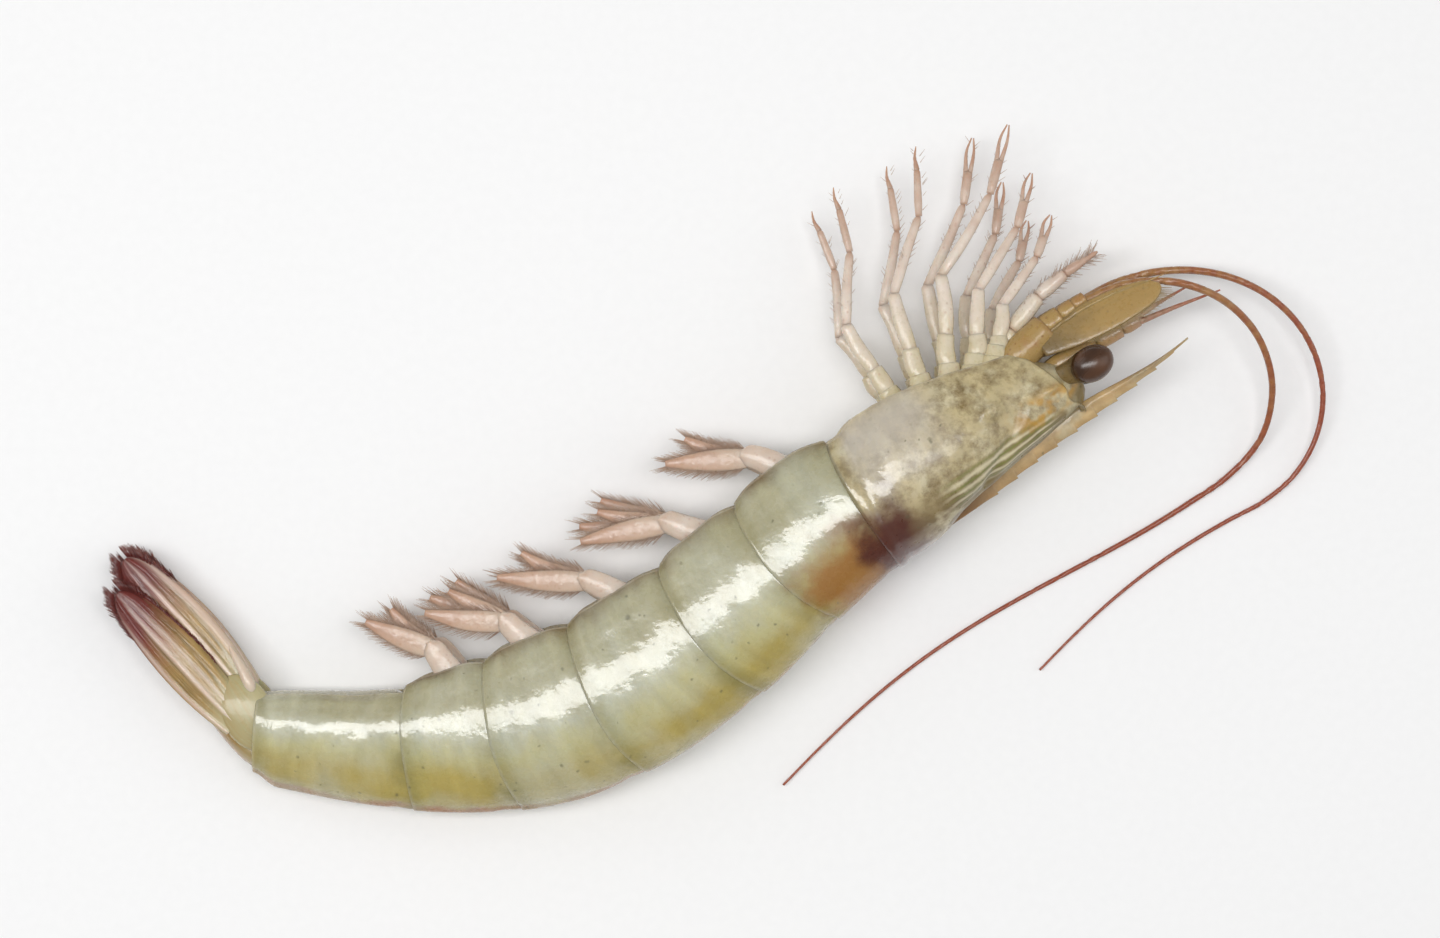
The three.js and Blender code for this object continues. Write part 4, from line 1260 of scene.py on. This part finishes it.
class SHRIMP_OT_walking_legs(bpy.types.Operator):
    """Build the five pairs of walking legs"""

    bl_idname = "shrimp.walking_legs"
    bl_label = "Walking Legs"

    def execute(self, context):
        sizes, hues = context.scene.shrimp_sizes, context.scene.shrimp_colours
        for index, leg in enumerate(WALKING_LEGS):
            for side, hand in SIDES:
                bm = bmesh.new()
                self.leg(bm, leg, hand, sizes, random.Random(100 + 10 * index + hand))
                name = f"walking_leg_{index + 1}_{side}"
                piece(bm, f"{name}_limb", [limb_finish(hues)], name, HEAD_FRAME)
        return {"FINISHED"}

    def leg(self, bm, leg, hand, sizes, chance):
        root, parts, pincer = leg
        off = 2.5 * hand
        stops = [Vector((root, underside_at(-root, off) + GAP, off))]
        for length, turned in parts:
            reach, lead = (length, 0) if hand > 0 else (length * RIGHT_LEG_SHORTER, RIGHT_LEG_TURNED)
            stops.append(away(stops[-1], reach, turned + lead, -0.9 if hand > 0 else -0.6))
        hip, knee, wrist, tip = stops
        thick = LEG_RADIUS
        down = (knee - hip).normalized()
        split = hip.lerp(knee, 0.45)

        def bent():
            return chance.uniform(-0.35, 0.35), chance.uniform(-0.2, 0.2), chance.uniform(-0.1, 0.1)

        # The short thick hip articles come out from between the side plates.
        for a, b, root_thick, end_thick, flat, bow, rows, share in (
            (hip - down * 2.0, hip + down * 0.8, 2.0, 1.75, 0.7, (0, 0, 0), 16, (0, 0.05)),
            (hip - down * 0.1, hip + down * 2.2, 1.65, 1.35, 0.62, (0, 0, 0), 16, (0.05, 0.12)),
            (hip + down * 1.5, split, 1.3, 1.1, 0.6, bent(), 16, (0.12, 0.25)),
            (split - down * 0.5, knee, 1.1, 0.8, 0.58, bent(), 22, (0.25, 0.45)),
            (knee - down * 0.3, wrist, 0.76, 0.52, 0.65, bent(), 22, (0.45, 0.7)),
        ):
            article(bm, a, b, root_thick * thick, end_thick * thick, flat, bow, rows, share=share)
        forward = (tip - wrist).normalized()
        aside = left_of(forward)
        if pincer:
            palm = wrist.lerp(tip, 0.5)
            article(bm, wrist, palm, 0.6 * thick, 0.62 * thick, flat=0.75, share=(0.7, 0.85))
            for way in (-1, 1):
                start = palm + aside * 0.26 * way - forward * 0.2
                bend = palm.lerp(tip, 0.55) + aside * (0.5 if way > 0 else 0.38) * way
                end = tip + aside * 0.12 * way
                tube(
                    bm, (start, bend, end), lambda along: (0.3 - 0.22 * along, 0.28 - 0.2 * along),
                    rows=16, sides=10, marks=lambda along, around: ((0.85 + 0.15 * along, 0, 0),),
                )
        else:
            heel = wrist.lerp(tip, 0.68)
            article(bm, wrist, heel, 0.55 * thick, 0.42 * thick, flat=0.8, share=(0.7, 0.88))
            tube(
                bm, (heel - forward * 0.15, heel.lerp(tip, 0.5) + aside * 0.2, tip),
                lambda along: (0.34 - 0.28 * along, 0.3 - 0.24 * along),
                rows=14, sides=10, marks=lambda along, around: ((0.88 + 0.12 * along, 0, 0),),
            )
        route = Route((knee, wrist, tip))
        strands = []
        for _k in range(26):
            at, way = route.at(chance.uniform(0.1, 0.98))
            spread = aside * chance.choice((-1, 1)) + Vector((0, 0, chance.uniform(-0.6, 0.6)))
            start = at + spread * 0.35
            strands.append((start, start + (way * 1.2 + spread).normalized() * chance.uniform(0.5, 1.1)))
        hairs(bm, strands, sizes.hair / MM * 0.7)


class SHRIMP_OT_swimmerets(bpy.types.Operator):
    """Build the five pairs of swimmerets"""

    bl_idname = "shrimp.swimmerets"
    bl_label = "Swimmerets"

    def execute(self, context):
        sizes, hues = context.scene.shrimp_sizes, context.scene.shrimp_colours
        skin = limb_chitin("chitin_swimmeret", hues.limb, hues.swimmeret, hues.limb_tip, hues.limb_tip)
        for index, reach in enumerate(SWIMMERET_REACH):
            station = RING_STARTS[index] + RINGS[index][0] * SWIMMERETS_AT
            placed = frame_at(station, heading_at(station))
            for side, hand in SIDES:
                bm = bmesh.new()
                self.swimmeret(bm, reach, station, hand, sizes, random.Random(200 + 10 * index + hand))
                name = f"swimmeret_{index + 1}_{side}"
                piece(bm, f"{name}_limb", [skin], name, placed)
        return {"FINISHED"}

    def swimmeret(self, bm, reach, station, hand, sizes, chance):
        off = 2.3 * hand
        root = Vector((0, -underside_at(station, off) - GAP, off))
        knee = away(root, reach, -62)
        down = (knee - root).normalized()
        middle = root.lerp(knee, 0.5) + left_of(down) * chance.uniform(-0.4, 0.4)

        def stalk_at(along):
            rounded = math.sqrt(1 - 0.85 * smooth(along, 0.8, 1) ** 2)
            return lerp(1.9, 1.25, along) * rounded, 0.85 - 0.3 * along

        tube(
            bm, (root - down * 1.8, middle, knee + down * 0.4), stalk_at, rows=30, sides=20,
            marks=lambda along, around: (
                (0.35 * along, math.cos(around), 0), (0.5 * bump(along, 0.92, 0.05), 0, 0),
            ),
        )
        turn = chance.uniform(-7, 7)
        leaves = (
            (away(knee, reach * 1.75, -30 + turn, 0.5 * hand), 1.05),
            (away(knee, reach * 1.35, -52 + turn, -0.4 * hand), 0.8),
        )
        for tip, half in leaves:
            lean = (tip - knee).normalized()
            bow = left_of(lean) * chance.uniform(0.2, 0.7)
            route = Route((knee.lerp(root, 0.2), knee.lerp(tip, 0.5) + bow, tip))

            def half_at(along, half=half):
                return 0.25 + half * math.sin(math.pi * clamp(0.12 + 0.84 * along) ** 0.72) ** 0.9

            tube(
                bm, route, lambda along: (half_at(along), 0.2), rows=38, sides=18,
                marks=lambda along, around: (
                    (0.4 + 0.5 * along, 0, 0), (0.6 * bump(math.cos(around), 0.1, 0.2), 0, 0),
                ),
            )
            strands = []
            for k in range(120):
                along = 0.08 + 0.92 * (k // 2 + chance.random()) / 60
                at, way = route.at(along)
                edge = (1 if k % 2 else -1) * left_of(way)
                start = at + edge * half_at(along) * 0.85
                lean = way + edge * lerp(0.85, 0.2, along) + Vector((0, 0, chance.uniform(-0.2, 0.2)))
                strands.append((start, start + lean.normalized() * chance.uniform(1.0, 2.1)))
            hairs(bm, strands, sizes.hair / MM * 0.75)


# ---- Tail fan, in the tail's frame: x tailwards, y to the back, z to the left ----------------------------


class SHRIMP_OT_tail_fan(bpy.types.Operator):
    """Build the telson and the four blades of the tail fan"""

    bl_idname = "shrimp.tail_fan"
    bl_label = "Tail Fan"

    def execute(self, context):
        sizes, hues = context.scene.shrimp_sizes, context.scene.shrimp_colours
        placed = frame_at(TAIL_STATION, TAIL_HEADING)
        skin = blade_chitin("chitin_tail_blade", hues)
        bm = bmesh.new()
        self.telson(bm)
        piece(bm, "telson_plate", [skin], "telson", placed)
        for blade, (root, tip, half, off) in TAIL_BLADES.items():
            for side, hand in SIDES:
                bm = bmesh.new()
                chance = random.Random(350 + hand)
                self.blade(bm, root, tip, half, off * hand, hand, sizes, chance, blade == "outer")
                name = f"tail_blade_{blade}_{side}"
                piece(bm, f"{name}_leaf", [skin], name, placed)
        return {"FINISHED"}

    def telson(self, bm):
        """The pointed middle plate, with a groove along its back between two ridges."""
        route = Route(TELSON)
        rows = 70

        def place(row, around):
            along = clamp((row - 1) / (rows - 2))
            point, way = route.at(along)
            if row in (0, rows):
                return point, (along, 0, 0)
            swell = min(1, 0.8 + 2 * along) * (1 - 0.9 * along**1.6)
            out, side = math.cos(around), math.sin(around)
            groove = 0.35 * bump(side, 0, 0.22) * smooth(out, 0, 0.6) * smooth(along, 0.1, 0.3)
            ridge = 0.25 * bump(abs(side), 0.42, 0.16) * smooth(out, 0, 0.6)
            thick = swell * lerp(1.45, 0.95, smooth(along, 0.1, 0.45))
            made = point + left_of(way) * (out * thick + (ridge - groove) * swell)
            made.z += 2.4 * side * swell
            # The ridges are marked for the pale rib colour, which is partly a painted highlight.
            return made, (along, side, out), (bump(abs(side), 0.42, 0.15) * smooth(out, 0, 0.4), 0, 0)

        ball_net(bm, sides=32, rows=rows, place=place)

    def blade(self, bm, root, tip, half, off, hand, sizes, chance, outer):
        """A leaf with a stiff rib down its middle, a thick outer edge and a fringe of hairs."""
        start = Vector((*root, off - 0.3 * hand))
        end = Vector((*tip, off))
        route = Route((start, (start + end) / 2 + Vector((0, 0, 0.15 * hand)), end))

        def half_at(along):
            broad = 1.5 + (half - 1.5) * math.sin(math.pi * min(0.93, 0.06 + 0.9 * along) ** 0.85)
            return broad * rounded_end(along, 0.86, 2.2)

        if outer:
            # The stout base that carries both blades of this side.
            stout = (
                (-1.8, -2.0, 0.8 * off), (0.6, -0.9, off + 0.35 * hand),
                (4.0, -1.1, off + 0.5 * hand), (7.4, -1.6, off + 0.2 * hand),
            )

            def base_at(along):
                round_off = math.sqrt(clamp(1 - abs(2 * along - 1) ** 2.6, 0.01))
                return lerp(3.3, 3.0, along) * round_off, 1.2 * round_off * (1 - 0.4 * along)

            tube(bm, stout, base_at, rows=60, sides=40, marks=lambda along, around: (
                (0.14 * along, math.cos(around), math.sin(around)),
            ))
            # The joint at the root of the stiff rib is a round knob; its pale rib colour is partly its own
            # and partly a painted highlight.
            knob = (
                (3.6, -2.8, off + 0.5 * hand), (6.0, -3.5, off + 0.6 * hand), (10.0, -4.2, off + 0.2 * hand),
            )
            tube(bm, knob, lambda along: (
                lerp(0.9, 0.3, along) * math.sqrt(clamp(1 - (2 * along - 1) ** 4, 0.01)),
            ) * 2, rows=30, sides=20, marks=lambda along, around: ((0.1, 0, 0), (0.9, 0, 0)))
        rows = 84
        edge = -1 if outer else 1

        def place(row, around):
            along = clamp((row - 1) / (rows - 2))
            point, way = route.at(along)
            if row in (0, rows):
                return point, (along, 0, 0)
            across, deep = math.cos(around), math.sin(around)
            rib = bump(across, 0.12 * edge, 0.1) + bump(across, 0.86 * edge, 0.15 if outer else 0.08)
            second = 0.6 * bump(across, -0.3 * edge, 0.07)
            thick = 0.24 * (1 - 0.55 * along) + (0.34 * rib + 0.2 * second) * (1 - 0.75 * along)
            cup = -0.5 * hand * (across * across) * smooth(along, 0, 0.4)
            made = point + left_of(way) * across * half_at(along)
            made.z += deep * thick + cup
            # The ribs are marked for the pale rib colour, which is partly a painted highlight.
            return made, (along, across, deep), (clamp(rib + second), 0, 0)

        ball_net(bm, sides=44, rows=rows, place=place)
        strands = []
        count = sizes.fringe_density
        for k in range(2 * count):
            along = 0.3 + 0.7 * (k // 2 + chance.random()) / count
            at, way = route.at(along)
            side = 1 if k % 2 else -1
            if side == edge and along < 0.72:
                continue
            aside = left_of(way) * side
            begin = at + aside * half_at(along) * 0.93 + Vector((0, 0, -0.5 * hand * smooth(along, 0, 0.4)))
            lean = way * 1.1 + aside * lerp(0.5, 0.1, along) + Vector((0, 0, chance.uniform(-0.12, 0.12)))
            reach = chance.uniform(1.0, 2.1) * lerp(0.7, 1.0, along)
            strands.append((begin, begin + lean.normalized() * reach))
        # The rounded tip carries more hairs, spread like a brush.
        for _k in range(count):
            short = chance.random()
            along = 1 - 0.13 * short**2
            at, way = route.at(along)
            aside = left_of(way) * chance.choice((-1, 1))
            begin = at + aside * half_at(along) * 0.9
            lean = (way + aside * 0.45 * short).normalized()
            strands.append((begin, begin + lean * chance.uniform(0.9, 1.8)))
        hairs(bm, strands, sizes.hair / MM, shade=(0.86, 1.0))


# ---- Stage ------------------------------------------------------------------------------------------


class SHRIMP_OT_stage(bpy.types.Operator):
    """Build the floor, the soft lights and the camera that looks straight down"""

    bl_idname = "shrimp.stage"
    bl_label = "Stage"

    def execute(self, context):
        scene, hues = context.scene, context.scene.shrimp_colours
        low, high = CAD_BOX
        middle = (low + high) / 2

        bm = bmesh.new()
        bmesh.ops.create_grid(bm, x_segments=1, y_segments=1, size=3.0)
        bmesh.ops.translate(bm, vec=(middle.x, middle.y, -0.02 * MM), verts=bm.verts)
        mesh = bpy.data.meshes.new("floor")
        bm.to_mesh(mesh)
        bm.free()
        floor = bpy.data.objects.new("floor", mesh)
        scene.collection.objects.link(floor)
        # Smooth matt paper: near white, with a grain too fine to see.
        material, tree = new_tree("paper_matt")
        spot = add(tree, "TexCoord", out="Object")
        grain = add(tree, "TexNoise", inputs={"Vector": spot, "Scale": per(1.2), "Detail": 2.0})
        shade = add(tree, "ValToRGB", inputs={0: grain}, stops=(
            (0.3, tuple(0.985 * part for part in hues.floor)), (0.7, tuple(hues.floor)),
        ))
        shader = add(tree, "BsdfPrincipled", inputs={"Base Color": shade, "Roughness": 0.75, "IOR": 1.4})
        add(tree, "OutputMaterial", inputs={"Surface": shader})
        mesh.materials.append(material)

        lights = (
            # name, place, size, watts, and the direction of its longer side in degrees
            ("softbox_above", (-0.10, 0.01, 0.62), (0.74, 0.165), 3.1, 3),
            ("softbox_left", (-0.75, 0.35, 0.5), (0.7, 0.7), 1.0, 65),
            ("softbox_right", (0.75, 0.1, 0.55), (0.7, 0.7), 1.4, 98),
        )
        for name, place, (across, along), watts, turned in lights:
            lamp = bpy.data.lights.new(name, "AREA")
            lamp.shape = "RECTANGLE"
            lamp.size, lamp.size_y, lamp.energy = across, along, watts
            made = bpy.data.objects.new(name, lamp)
            made.location = Vector(place) + Vector((middle.x, middle.y, 0))
            back = Vector(place).normalized()
            right = Vector((math.cos(math.radians(turned)), math.sin(math.radians(turned)), 0))
            right = (right - back * right.dot(back)).normalized()
            made.rotation_euler = Matrix((right, back.cross(right), back)).transposed().to_euler()
            scene.collection.objects.link(made)

        world = bpy.data.worlds.new("studio")
        scene.world = world
        world.use_nodes = True
        sky = world.node_tree.nodes["Background"].inputs
        sky["Color"].default_value = (1, 1, 1, 1)
        sky["Strength"].default_value = 0.28
        scene.view_settings.view_transform = "Standard"

        camera = bpy.data.cameras.new("camera")
        camera.lens, camera.sensor_width = LENS, SENSOR
        camera.clip_start, camera.clip_end = 0.01, 20
        seen = bpy.data.objects.new("camera", camera)
        seen.location = (middle.x, middle.y, (FRAME_WIDTH * LENS / SENSOR + LINE_HEIGHT) * MM)
        scene.collection.objects.link(seen)
        scene.camera = seen
        return {"FINISHED"}


BUILD_ORDER = (
    SHRIMP_OT_stage, SHRIMP_OT_carapace, SHRIMP_OT_rings, SHRIMP_OT_tail_fan, SHRIMP_OT_eyes,
    SHRIMP_OT_antennal_scales, SHRIMP_OT_antennules, SHRIMP_OT_antennae, SHRIMP_OT_mouth_legs,
    SHRIMP_OT_walking_legs, SHRIMP_OT_swimmerets,
)


class SHRIMP_PT_panel(bpy.types.Panel):
    """Lists the steps that build the shrimp"""

    bl_idname = "SHRIMP_PT_panel"
    bl_label = "Raw Whole Shrimp"
    bl_space_type = "VIEW_3D"
    bl_region_type = "UI"
    bl_category = "Shrimp"

    def draw(self, context):
        for step in BUILD_ORDER:
            self.layout.operator(step.bl_idname)
        for group in (context.scene.shrimp_sizes, context.scene.shrimp_colours):
            for key in group.bl_rna.properties.keys():
                if key not in ("rna_type", "name"):
                    self.layout.prop(group, key)


CLASSES = (ShrimpSizes, ShrimpColours, *BUILD_ORDER, SHRIMP_PT_panel)


def register():
    for made in CLASSES:
        bpy.utils.register_class(made)
    bpy.types.Scene.shrimp_sizes = PointerProperty(type=ShrimpSizes)
    bpy.types.Scene.shrimp_colours = PointerProperty(type=ShrimpColours)


def unregister():
    del bpy.types.Scene.shrimp_sizes
    del bpy.types.Scene.shrimp_colours
    for made in reversed(CLASSES):
        bpy.utils.unregister_class(made)


def main():
    register()
    for step in BUILD_ORDER:
        group, name = step.bl_idname.split(".")
        getattr(getattr(bpy.ops, group), name)()


if __name__ == "__main__":
    main()
